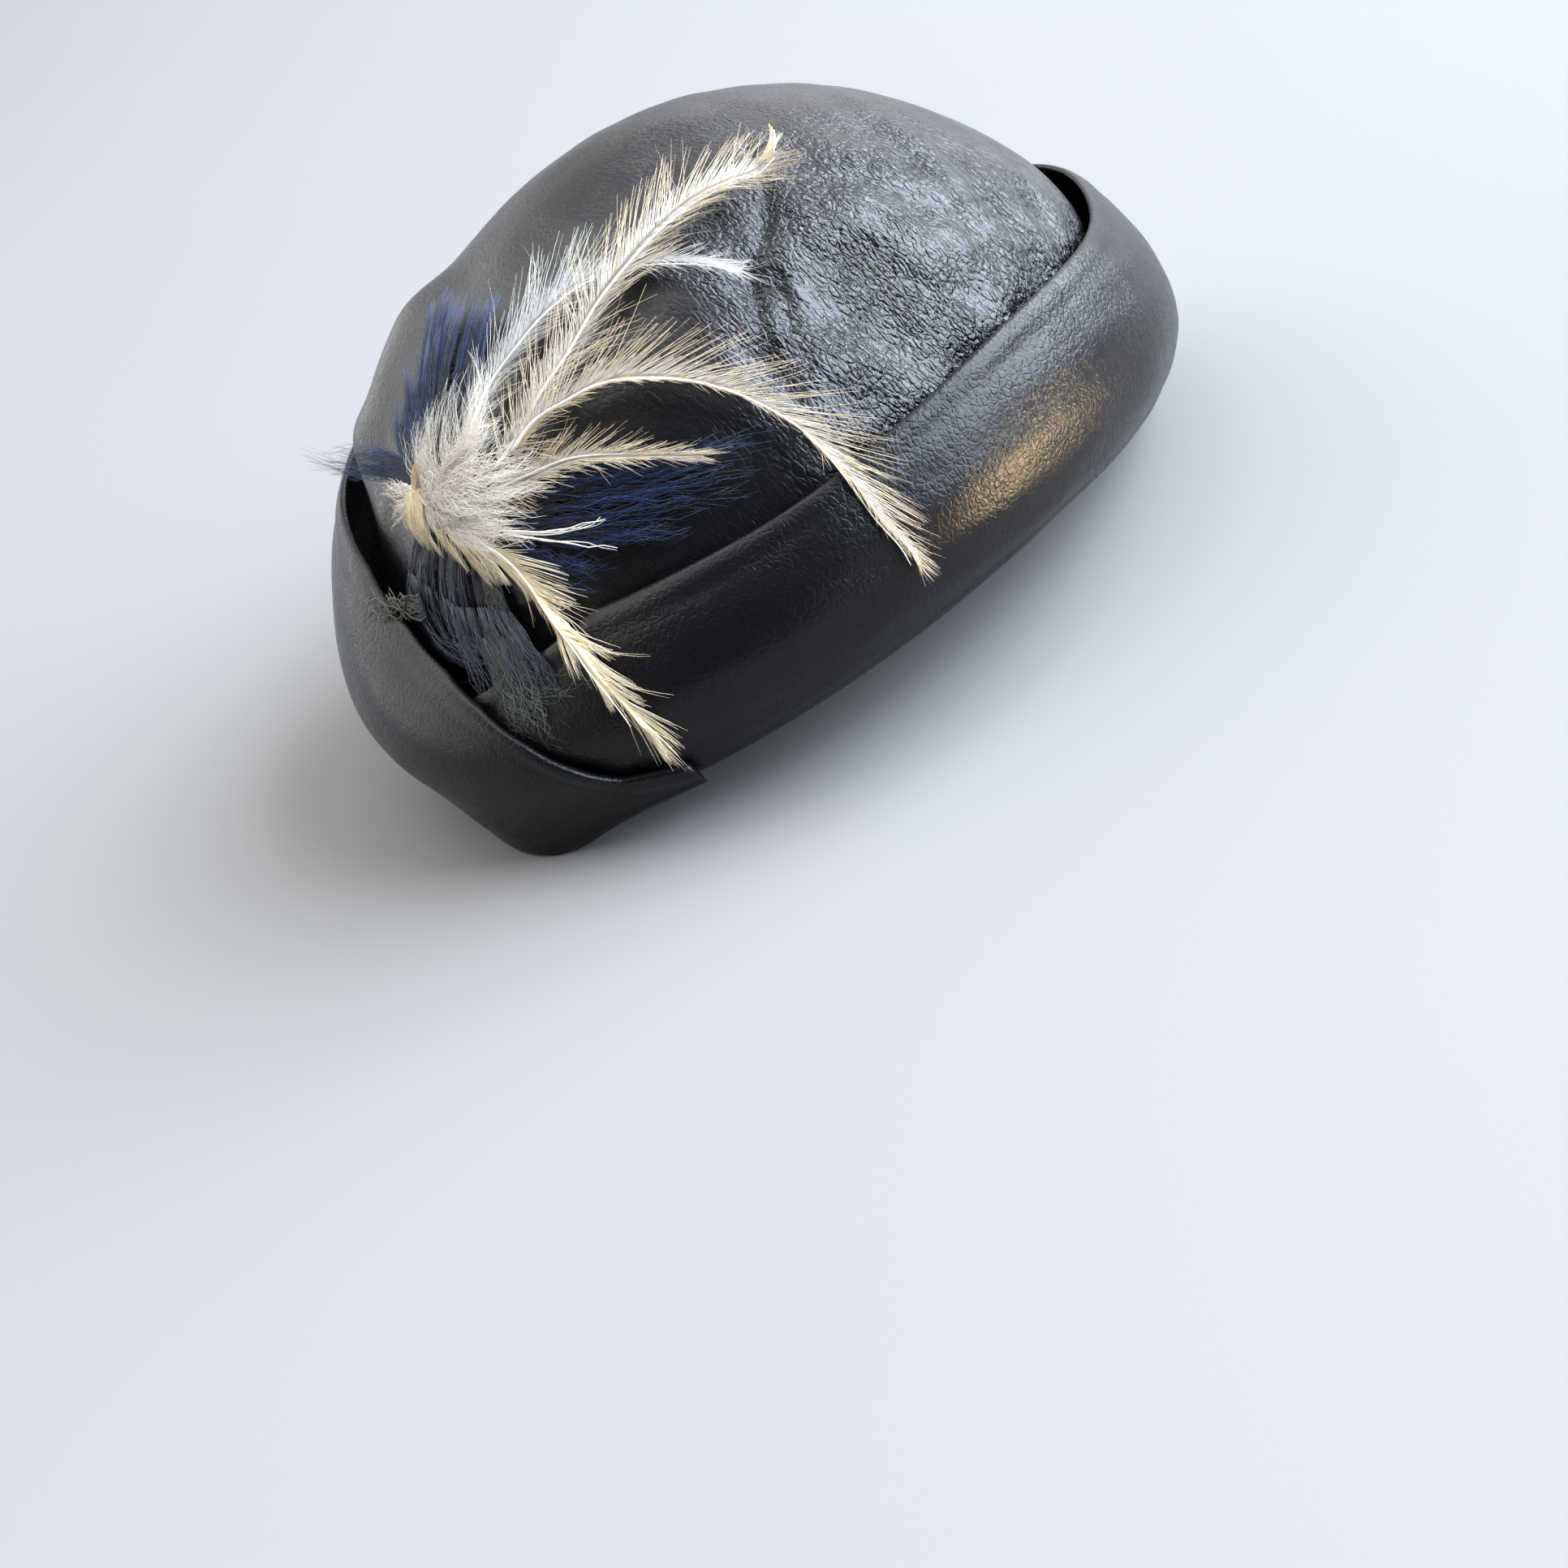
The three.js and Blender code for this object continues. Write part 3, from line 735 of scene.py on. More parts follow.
@dataclass
class Crown:
    """The soft domed crown: a shell of one wall, with the creases of its leather, and a lining.

    Unevenness is the height of its soft waves, and worked_waves how many times that is added where the
    leather is worked. Inner_top and outer_top are the climbs where its faces close. The lining's rows of
    places are given under the spring line as shares of the way down the wall, and over it as climbs.
    """

    dome: Dome
    wall: float = 0.002
    unevenness: float = 0.00009
    worked_waves: float = 5.0
    inner_top: float = 89.2
    outer_top: float = 89.4
    columns: int = 460
    dome_rows: int = 112
    wall_rows: int = 16
    inner_rows: int = 26
    inner_wall_rows: int = 5
    lining_depth: float = 0.0022
    lining_thickness: float = 0.0004
    lining_wall: tuple[float, float] = (0.86, 0.05)
    lining_climbs: tuple[float, float] = (0.5, 88.5)
    lining_columns: int = 240
    lining_rows: tuple[int, int] = (10, 40)
    creases: tuple[Fold, ...] = (
        Fold(((96, 68), (80, 58), (70, 52), (64, 49)), half_width=0.0017, lift=-0.0007),
        Fold(((64, 49), (61, 43), (59, 36), (60, 30)), half_width=0.0016, lift=-0.0008),
        Fold(((69, 47), (65, 40), (64, 33)), half_width=0.0014, lift=-0.0005),
        Fold(((86, 52), (92, 44), (93, 35)), half_width=0.0020, lift=-0.0005),
        Fold(((72, 44), (84, 43), (95, 38)), half_width=0.0022, lift=-0.0004),
        Fold(((100, 50), (104, 41), (103, 31)), half_width=0.0022, lift=-0.0004),
        Fold(((70, 33), (78, 29), (88, 28)), half_width=0.0020, lift=-0.0005),
        Fold(((112, 46), (115, 36), (113, 27)), half_width=0.0026, lift=-0.0004),
        Fold(((-44, 30), (-35, 27), (-26, 24)), half_width=0.0065, lift=0.0020),
    )

    def leather(self, turn: np.ndarray, climb: np.ndarray) -> np.ndarray:
        """The outer face: the folded dome, its creases, and a soft unevenness of sines of the place.

        Args:
            turn: degrees round the hat.
            climb: degrees up the crown.

        Returns:
            Points of the outer face.
        """
        plain = self.dome.plain(turn, climb)
        height = self.unevenness * (1 + self.worked_waves * self.worked(turn, climb))
        out = self.dome.lift(plain, self.creases) + height * waves(plain) * smooth(climb, -25, 5)
        return self.dome.place(turn, climb, out)

    @staticmethod
    def worked(turn: np.ndarray, climb: np.ndarray) -> np.ndarray:
        """How strongly the leather is grained: most on the wearer's left, less to the front, top and back.

        Args:
            turn: degrees round the hat.
            climb: degrees up the crown.

        Returns:
            Numbers from 0 to 1.
        """
        turn = (np.asarray(turn, float) + 180) % 360 - 180
        side = smooth(turn + 0.35 * (np.asarray(climb) - 40), 46, 64) * (1 - smooth(turn, 118, 150))
        return side * (1 - 0.75 * smooth(climb, 52, 72)) * smooth(climb, -10, 12)

    def foot(self, turn: np.ndarray) -> np.ndarray:
        """The climb of the rim."""
        return self.dome.wall_climb * (self.dome.rim(turn) / self.dome.spring - 1)

    def shell(self) -> bpy.types.Object:
        """The leather shell: down its inside, round its rim and up its outside, row by row.

        Returns:
            The shell.
        """
        turn = np.arange(self.columns) * 360.0 / self.columns
        across = np.ones(self.columns)
        low = self.foot(turn)
        inner = np.concatenate([
            np.outer(np.linspace(self.inner_top, 0, self.inner_rows), across),
            np.outer(np.linspace(0, 1, self.inner_wall_rows + 1)[1:], low),
        ])
        outer = np.concatenate([
            np.outer(np.linspace(1, 0, self.wall_rows), low),
            np.outer(np.linspace(0, self.outer_top, self.dome_rows + 1)[1:], across),
        ])
        inside = self.dome.place(turn, inner, np.full(inner.shape, -self.wall))
        outside = self.leather(np.broadcast_to(turn, outer.shape), outer)
        worked = np.concatenate([0 * inner, self.worked(turn, outer)])
        stock = Stock()
        stock.tube(np.concatenate([inside, outside]), worked=worked)
        return stock.make("crown_shell", Finish.CROWN.finish())

    def lining(self) -> bpy.types.Object:
        """A cloth shell just inside the leather: down its inner face from the top, and up its outer one.

        Returns:
            The lining.
        """
        turn = np.arange(self.lining_columns) * 360.0 / self.lining_columns
        climbs = np.concatenate([
            np.outer(np.linspace(*self.lining_wall, self.lining_rows[0]), self.foot(turn)),
            np.outer(np.linspace(*self.lining_climbs, self.lining_rows[1]), np.ones(self.lining_columns)),
        ])
        depths = (-self.lining_depth - self.lining_thickness, -self.lining_depth)
        inside, outside = (self.dome.place(turn, climbs, np.full(climbs.shape, out)) for out in depths)
        rib = np.broadcast_to(np.radians(turn) / 6.0, climbs.shape)
        stock = Stock()
        stock.tube(np.concatenate([inside[::-1], outside]), rib=np.concatenate([rib, rib]))
        return stock.make("crown_lining", Finish.LINING.finish())

    def build(self) -> None:
        """Makes the shell and its lining, and seats them."""
        seat(self.shell(), Finish.CROWN, "crown")
        seat(self.lining(), Finish.LINING)


# ------------------------------------------------------------------ cuff


@dataclass
class Cuff:
    """The turned-up cuff: a band whose outer end laps over its own tapered start at the front.

    Places on it are run, a running turn in degrees from its hidden start to the end of its lap, and share,
    the way up its section from the bottom fold at 0 to the edge at 1. Lap and tuck are the runs between which
    it comes out or goes in, and how far, low down and high up. Back_gap is a run, a half width and how far
    the edge gapes there; corner is a run, a half width, a drop, a push outwards and the share where they end.
    Edge holds heights in mm, 45 degrees apart, and taper the reach of the section at runs. Lip, groove and
    ridge are a height, a place and a half width on the section. Grain is how strongly the leather is worked
    everywhere, how much more at most, and the run and half width of that. The rolled edge turns between the
    two angles of roll, in degrees, and rises by edge_roll of the section. A crowding under 1 sets rows closer
    together towards the edge.
    """

    dome: Dome
    start: float = -32.0
    end: float = 391.0
    wall: float = 0.002
    seam: float = 0.0005
    belly: float = 0.0102
    belly_front_back: float = 0.0022
    belly_rise: float = 0.0185
    edge_stand_off: float = 0.0021
    lap: tuple[float, float, float, float] = (278.0, 322.0, 0.0027, 0.0006)
    tuck: tuple[float, float, float, float] = (15.0, 60.0, 0.0023, 0.0011)
    fold_share: float = 0.25
    back_gap: tuple[float, float, float] = (160.0, 20.0, 0.0046)
    edge: tuple[float, ...] = (47.8, 53.7, 61.9, 53.6, 48.2, 56.0, 64.0, 61.0)
    taper: tuple[tuple[float, float], ...] = (
        (-32, 0.16), (-20, 0.32), (-10, 0.52), (4, 0.8), (15, 0.92), (23, 1.0), (336, 1.0), (349, 0.95),
        (359, 0.87), (366, 0.76), (373, 0.59), (379, 0.38), (383, 0.22), (391, 0.13))
    corner: tuple[float, float, float, float, float] = (364.0, 12.0, 0.0065, 0.0045, 0.5)
    section_length: float = 0.052
    mean_radius: float = 0.09
    lip: tuple[float, float, float] = (0.0002, 0.0014, 0.0013)
    groove: tuple[float, float, float] = (-0.00012, 0.0042, 0.0012)
    ridge: tuple[float, float, float] = (0.0004, 0.035, 0.022)
    unevenness: float = 0.00012
    drawn_out: float = 0.6
    grain: tuple[float, float, float, float] = (0.13, 0.40, 98.0, 28.0)
    roll: tuple[float, float] = (12.0, 168.0)
    edge_roll: float = 0.020
    foot_share: float = 0.06
    crowding: float = 0.9
    stations: int = 620
    outer_rows: int = 54
    rolled_rows: int = 9
    inner_rows: int = 22

    def edge_height(self, run: np.ndarray) -> np.ndarray:
        """Height of the edge: a smooth closed curve through its eight heights.

        Args:
            run: running turn, in degrees.

        Returns:
            Metres over the floor.
        """
        heights = np.array(self.edge) * MM
        knots = np.concatenate([heights[-2:], heights, heights[:3]])[:, None]
        share = (np.mod(run, 360.0) / 45.0 + 2) / (len(knots) - 1)
        return spline(knots, share)[..., 0]

    def face(self, run: np.ndarray, share: np.ndarray) -> np.ndarray:
        """The plain face: the parabola through the bottom fold, the belly and the edge, at shares 0, 0.5, 1.

        Args:
            run: running turn, in degrees.
            share: the way up the section, from the bottom fold to the edge.

        Returns:
            Points of the face.
        """
        bearing = np.radians(np.mod(run, 360.0))
        belly = self.belly + self.belly_front_back * np.cos(2 * bearing)
        low = self.dome.rim(np.degrees(bearing))

        def girth(size: tuple[float, float], out: np.ndarray, height: np.ndarray) -> np.ndarray:
            """A level ellipse round the hat.

            Args:
                size: its half breadth and half length.
                out: how much larger it is.
                height: its height over the floor.

            Returns:
                Points on it, at the bearings.
            """
            breadth, length = size
            across, along = (breadth + out) * np.sin(bearing), -(length + out) * np.cos(bearing)
            return np.stack([across, along, height], -1)

        rim = (self.dome.rim_half_breadth, self.dome.rim_half_length)
        bottom = girth(rim, self.seam, low)
        middle = girth(rim, belly, low + self.belly_rise)
        crown = (self.dome.half_breadth, self.dome.half_length)
        edge = girth(crown, self.edge_stand_off, self.edge_height(run))
        s = share[..., None]
        return bottom * (1 - s) * (1 - 2 * s) + middle * 4 * s * (1 - s) + edge * s * (2 * s - 1)

    def outward(self, run: np.ndarray, share: np.ndarray) -> np.ndarray:
        """The direction out of the face: the cross product of its slopes round and up.

        Args:
            run: running turn, in degrees.
            share: the way up the section.

        Returns:
            Unit vectors.
        """
        around = self.face(run + 0.5, share) - self.face(run - 0.5, share)
        up = self.face(run, share + 0.01) - self.face(run, share - 0.01)
        return unit(np.cross(around, up))

    def stand_off(self, run: np.ndarray, share: np.ndarray) -> np.ndarray:
        """How far the cuff stands off its plain face: out at its lap, in where its start is tucked away.

        Args:
            run: running turn, in degrees.
            share: the way up the section.

        Returns:
            Metres.
        """
        above = smooth(share, 0, self.fold_share)
        lap = smooth(run, *self.lap[:2]) * mix(self.lap[2], self.lap[3], above)
        drawn_in = (1 - smooth(run, *self.tuck[:2])) * above
        at, half_width, gap = self.back_gap
        gaping = gap * bell(run - at, half_width) * smooth(share, 0.5, 1)
        return lap + gaping - drawn_in * mix(self.tuck[2], self.tuck[3], smooth(share, 0.7, 1))

    def place(self, run: np.ndarray, share: np.ndarray, depth: np.ndarray) -> np.ndarray:
        """Points of the band, with its lap and the push and drop of its corner.

        Args:
            run: running turn, in degrees.
            share: the way up the section.
            depth: how far inside the face, in metres.

        Returns:
            Points of the band.
        """
        off = self.stand_off(run, share) - depth
        points = self.face(run, share) + self.outward(run, share) * off[..., None]
        at, half_width, drop, push, up_to = self.corner
        near = bell(run - at, half_width) * np.maximum(1 - share / up_to, 0) ** 2
        flat = unit(points * [1.0, 1.0, 0.0])
        points = points + flat * (push * near)[..., None]
        points[..., 2] = np.maximum(points[..., 2] - drop * near, 0)
        return points

    def relief(self, run: np.ndarray, share: np.ndarray, reach: np.ndarray) -> np.ndarray:
        """Fine shape of the outer face: a fuller edge, a rolled ridge at the bottom and a soft unevenness.

        The unevenness is drawn out along the band, by 1 / drawn_out.

        Args:
            run: running turn, in degrees.
            share: the way up the section.
            reach: the share at which the section ends there.

        Returns:
            Metres out of the face.
        """
        from_edge = (reach - share) * self.section_length
        rolls = sum(height * bell(where - at, half_width) for where, (height, at, half_width) in (
            (from_edge, self.lip), (from_edge, self.groove), (share, self.ridge)))
        along, up = np.radians(run) * self.mean_radius, share * self.section_length
        place = np.stack([along * self.drawn_out, up, np.zeros(run.shape)], -1)
        return rolls + self.unevenness * waves(place)

    def section(self, run: np.ndarray) -> tuple[np.ndarray, np.ndarray, np.ndarray]:
        """The rows of a section: up the outer face, over the rolled edge and down the back.

        Args:
            run: running turns of the stations.

        Returns:
            The share, depth and reach at each station and row.
        """
        reach = np.interp(run, *np.array(self.taper).T)
        rising = np.linspace(0, 1, self.outer_rows) ** self.crowding
        roll = np.radians(np.linspace(*self.roll, self.rolled_rows))
        falling = np.linspace(1, 0, self.inner_rows)
        share = np.concatenate([
            np.outer(reach, rising),
            reach[:, None] + self.edge_roll * np.sin(roll),
            self.foot_share + np.outer(reach - self.foot_share, falling),
        ], 1)
        depth = np.concatenate([
            np.zeros((len(run), self.outer_rows)),
            np.repeat((self.wall * (1 - np.cos(roll)) / 2)[None], len(run), 0),
            np.full((len(run), self.inner_rows), self.wall),
        ], 1)
        return share, depth, np.broadcast_to(reach[:, None], share.shape)

    def build(self) -> None:
        """Makes the band and seats it."""
        run = np.linspace(self.start, self.end, self.stations)
        share, depth, reach = self.section(run)
        runs = np.broadcast_to(run[:, None], share.shape)
        outside = 1 - smooth(depth, 0, self.wall * 0.6)
        rings = self.place(runs, share, depth - self.relief(runs, share, reach) * outside)
        even, added, at, half_width = self.grain
        worked = even + added * bell(runs - at, half_width) * smooth(share, 0.2, 0.9)
        stock = Stock()
        stock.tube(rings, worked=worked)
        seat(stock.make("cuff_band", Finish.CUFF.finish()), Finish.CUFF, "cuff")


# ------------------------------------------------------------------ feathers


@dataclass
class Cover:
    """Height of the cuff's face over the leather of the crown, on a grid of turn and climb.

    Samples are how many runs and shares of the face are looked at, and the grid reaches from the climb lowest
    to the climb highest.
    """

    dome: Dome
    cuff: Cuff
    columns: int = 180
    rows: int = 60
    samples: tuple[int, int] = (1700, 160)
    foot: float = 0.02
    lowest: float = -30.0
    highest: float = 90.0

    def __post_init__(self) -> None:
        """Fills the grid.

        Each cell has the most that a point of the face in it lies over the crown. That is spread by a cell
        all round, and softened.
        """
        runs = np.linspace(self.cuff.start, self.cuff.end, self.samples[0])
        run, share = np.meshgrid(runs, np.linspace(self.foot, 1, self.samples[1]))
        reach = np.interp(run, *np.array(self.cuff.taper).T)
        points = self.cuff.place(run, share * reach, np.zeros(run.shape))
        turn, climb = self.dome.locate(points)
        base = self.dome.place(turn, climb, np.zeros(turn.shape))
        out = np.einsum("...i,...i->...", points - base, self.dome.outward(self.dome.plain(turn, climb)))
        grid = np.zeros((self.rows, self.columns))
        column, row = self.cell(turn, climb)
        np.maximum.at(grid, (row.astype(int), column.astype(int)), out)
        for axis in (0, 1):
            grid = np.maximum(grid, np.maximum(np.roll(grid, 1, axis), np.roll(grid, -1, axis)))
        for axis in (0, 1):
            grid = (np.roll(grid, 1, axis) + 2 * grid + np.roll(grid, -1, axis)) / 4
        self.grid = grid

    def cell(self, turn: np.ndarray, climb: np.ndarray) -> tuple[np.ndarray, np.ndarray]:
        """The grid's column and row of a place, as fractions.

        Args:
            turn: degrees round the hat.
            climb: degrees up the crown.

        Returns:
            The column and the row.
        """
        column = np.mod(turn, 360.0) / 360.0 * self.columns
        up = (np.asarray(climb) - self.lowest) / (self.highest - self.lowest)
        row = np.clip(up, 0, 0.999) * self.rows
        return np.minimum(column, self.columns - 0.001), row

    def height(self, turn: np.ndarray, climb: np.ndarray) -> np.ndarray:
        """Height of the cuff there, between the four nearest cells.

        Args:
            turn: degrees round the hat.
            climb: degrees up the crown.

        Returns:
            Metres over the leather.
        """
        column, row = self.cell(turn, climb)
        column, row = column - 0.5, np.clip(row - 0.5, 0, self.rows - 1.001)
        c, r = np.floor(column).astype(int), np.floor(row).astype(int)
        s, t = column - c, row - r
        left, right = c % self.columns, (c + 1) % self.columns
        low = mix(self.grid[r, left], self.grid[r, right], s)
        high = mix(self.grid[r + 1, left], self.grid[r + 1, right], s)
        return mix(low, high, t)


@dataclass
class Spray:
    """What every feather is grown over: the crown, and the cuff that some of them lie on.

    Barbs clear the cuff by clearance. Taper is how much of its width a barb loses on the way to its tip, and
    thickness is its thickness as a share of its width.
    """

    dome: Dome
    cover: Cover
    clearance: float = 0.0006
    taper: float = 0.82
    thickness: float = 0.45

    def lay(self, points: np.ndarray, out: np.ndarray, over_cuff: bool) -> np.ndarray:
        """Lays points over the leather, and over the cuff's face where they pass outside it.

        Args:
            points: points near the crown.
            out: how far over the crown each is to lie.
            over_cuff: whether they pass outside the cuff or behind its edge.

        Returns:
            The points in place.
        """
        if over_cuff:
            out = np.maximum(out, self.cover.height(*self.dome.locate(points)) + self.clearance)
        return self.dome.settle(points, out)

    def comb(self, stock: Stock, lines: np.ndarray, width: float, tint: tuple[float, float],
             rng: np.random.Generator) -> None:
        """Puts barbs along lines, each with a width of its own.

        Args:
            stock: where they are put.
            lines: their centre lines, barbs by rings by 3.
            width: their mean full width.
            tint: the "reach" mark at their roots and tips.
            rng: the source of their small differences.
        """
        count, rings = lines.shape[:2]
        u = np.linspace(0, 1, rings)
        up = self.dome.outward(lines)
        across = unit(np.cross(unit(np.gradient(lines, axis=1)), up))
        widths = width * (1 - self.taper * u**1.4) * rng.uniform(0.7, 1.25, (count, 1))
        reach = np.broadcast_to(mix(*tint, u), (count, rings))
        strand = np.repeat(rng.random((count, 1)), rings, 1)
        stock.needles(lines, across, up, widths, width * self.thickness,
                      reach=reach, strand=strand, quill=0 * strand)

    @staticmethod
    def wander(count: int, rings: int, rng: np.random.Generator) -> np.ndarray:
        """Unsteadiness along barbs: for each, the mean of a slow and a quick sine with a phase of its own.

        Args:
            count: how many barbs.
            rings: how many points each has.
            rng: the source of their speeds and phases.

        Returns:
            Numbers from -1 to 1, barbs by rings.
        """
        u = np.linspace(0, 1, rings)
        speeds = rng.uniform([[5], [12]], [[11], [20]], (count, 2, 1))
        phases = rng.uniform(0, 6.3, (count, 2, 1))
        return np.sin(speeds * u + phases).mean(1)


@dataclass(frozen=True)
class Side:
    """One side of a vane.

    Rows are the place along the shaft (0 to 1), a barb's length in mm and its angle from the shaft. Count is
    how many free barbs there are, and bend how far a barb turns towards the feather's tip, in degrees. Gold
    is how far towards its tips' colour the side is all over.
    """

    rows: tuple[tuple[float, float, float], ...]
    count: int
    bend: float = 0.0
    gold: float = 0.0


@dataclass(frozen=True)
class Layer:
    """One layer of barbs, as shares of its side's numbers.

    Barbs stand in locks of some mm of shaft: draw is how far a lock's tips come together, ragged how much
    locks and barbs differ in length, and scatter how many degrees they differ in angle.
    """

    length: float
    count: float
    width: float
    lock: float
    draw: float
    ragged: float
    scatter: float
    tint: float
    rise: float


WEB = Layer(length=0.40, count=1.7, width=0.8, lock=0.9, draw=0.35, ragged=0.35, scatter=1.5,
            tint=0.25, rise=0.3)
FRINGE = Layer(length=1.0, count=0.66, width=0.95, lock=1.7, draw=0.75, ragged=0.42, scatter=4.5,
               tint=1.0, rise=1.0)
FORKED = Layer(length=1.0, count=1.0, width=1.1, lock=3.6, draw=0.95, ragged=0.35, scatter=3.0,
               tint=1.0, rise=0.8)
STRAY = Layer(length=1.05, count=0.24, width=0.75, lock=1.0, draw=0.0, ragged=0.5, scatter=11.0,
              tint=1.0, rise=1.6)


@dataclass
class Plume:
    """A feather: a tapered shaft along a path over the crown, and layers of barbs on both sides of it.

    The path's rows are turn, climb and out in mm, and the shaft's are its radii at root and tip in mm. Near
    its root, over the first loose share of it, barbs stray like down.
    """

    name: str
    finish: Finish
    path: tuple[tuple[float, float, float], ...]
    left: Side
    right: Side
    seed: int
    shaft: tuple[float, float] = (0.40, 0.10)
    ridge: float = 0.3
    width: float = 0.2
    rise: float = 1.5
    crinkle: float = 2.0
    loose: float = 0.12
    over_cuff: bool = False
    layers: tuple[Layer, ...] = (WEB, FRINGE, STRAY)
    rings: int = 7

    def line(self, spray: Spray, place: np.ndarray) -> tuple[np.ndarray, np.ndarray, np.ndarray]:
        """The shaft at some places.

        Args:
            spray: what it lies on.
            place: places along it, from 0 to 1.

        Returns:
            Its points, directions and heights over the leather.
        """
        knots = np.array(self.path, float)

        def point(at: np.ndarray) -> tuple[np.ndarray, np.ndarray]:
            """The path's points and outs, in place over the leather.

            Args:
                at: places along it, from 0 to 1.

            Returns:
                Points, and how far out each one is.
            """
            turn, climb, out = np.moveaxis(spline(knots, at), -1, 0)
            return spray.dome.place(turn, climb, out * MM), out * MM

        here, out = point(place)
        return here, unit(point(place + 0.004)[0] - point(place - 0.004)[0]), out

    def grow(self, spray: Spray, stock: Stock, side: Side, sign: float, layer: Layer,
             rng: np.random.Generator) -> None:
        """Grows one layer of barbs on one side.

        A barb's direction at share u of its length is angle - bend * u from the shaft, plus its wander; its
        place is the running sum of its steps, and draw moves its tip by u * u along the shaft to its lock's
        middle.

        Args:
            spray: what they lie on.
            stock: where they are put.
            side: their lengths and angles.
            sign: 1 for the right side and -1 for the left.
            layer: which layer they are.
            rng: the source of their small differences.
        """
        count, rings = int(side.count * layer.count), self.rings
        place = np.sort((np.arange(count) + rng.random(count)) / count)
        root, along, out = self.line(spray, place)
        across = sign * unit(np.cross(along, spray.dome.outward(root)))
        span = np.linalg.norm(np.diff(self.line(spray, np.linspace(0, 1, 40))[0], axis=0), axis=1).sum()
        locks = max(int(span / (layer.lock * MM)), 2)
        lock = np.searchsorted(np.sort(rng.random(locks - 1)), place)
        members = np.maximum(np.bincount(lock, minlength=locks), 1)
        middle = (np.bincount(lock, place, locks) / members)[lock]
        spread = np.maximum(np.sqrt(np.bincount(lock, (place - middle) ** 2, locks) / members), 1e-4)[lock]
        rows = np.array(side.rows, float).T
        from_middle = np.minimum(((place - middle) / spread) ** 2, 2) / 2
        shorter = 0.5 * (rng.random(locks) ** 1.5)[lock] + 0.3 * from_middle + 0.4 * rng.random(count) ** 2
        length = np.interp(place, rows[0], rows[1]) * MM * layer.length * (1 - layer.ragged * shorter)
        free = 1 + 4 * np.exp(-place / self.loose)
        heading = (np.interp(place, rows[0], rows[2]) + rng.normal(0, layer.scatter, locks)[lock]
                   + rng.normal(0, 1 + 0.2 * layer.scatter, count) * free)
        u = np.linspace(0, 1, rings)
        bend = side.bend + rng.normal(0, 4, locks)[lock] + rng.normal(0, 2, count) * free
        wander = spray.wander(count, rings, rng) * self.crinkle * free[:, None]
        angle = np.radians(heading[:, None] - bend[:, None] * u + wander)[:, :-1]
        step = (length / (rings - 1))[:, None]
        start = np.zeros((count, 1))
        forth = np.concatenate([start, np.cumsum(np.cos(angle) * step, 1)], 1)
        aside = np.concatenate([start, np.cumsum(np.sin(angle) * step, 1)], 1)
        forth += ((middle - place) * span * layer.draw)[:, None] * u**2
        lines = root[:, None] + along[:, None] * forth[..., None] + across[:, None] * aside[..., None]
        lift = rng.uniform(0.1, 1.0, (count, 1)) * self.rise * layer.rise * MM * u**1.6
        lines = spray.lay(lines, out[:, None] + lift, self.over_cuff)
        spray.comb(stock, lines, self.width * layer.width * MM, (side.gold, side.gold + layer.tint), rng)

    def stem(self, spray: Spray, stock: Stock) -> None:
        """Adds the shaft: a tube whose radius tapers along the path.

        Args:
            spray: what it lies on.
            stock: where it is put.
        """
        place = np.linspace(0, 1, 56)
        centre, along, _ = self.line(spray, place)
        up = spray.dome.outward(centre)
        centre = centre + up * self.ridge * MM * (1 - place[:, None])
        aside = unit(np.cross(along, up))
        radius = mix(self.shaft[0], self.shaft[1], place**0.8)[:, None, None] * MM
        around = np.linspace(0, 2 * np.pi, 8, endpoint=False)[None, :, None]
        rings = centre[:, None] + radius * (np.cos(around) * aside[:, None] + np.sin(around) * up[:, None])
        ones = np.ones(rings.shape[:2])
        stock.tube(rings, reach=0 * ones, strand=0.6 * ones, quill=ones)

    def build(self, spray: Spray) -> None:
        """Makes the feather and seats it in place of its CAD solid.

        Args:
            spray: what it lies on.
        """
        rng = np.random.default_rng(self.seed)
        stock = Stock()
        self.stem(spray, stock)
        for layer in self.layers:
            self.grow(spray, stock, self.left, -1.0, layer, rng)
            self.grow(spray, stock, self.right, 1.0, layer, rng)
        seat(stock.make(self.name + "_barbs", self.finish.finish()), self.finish, self.name)


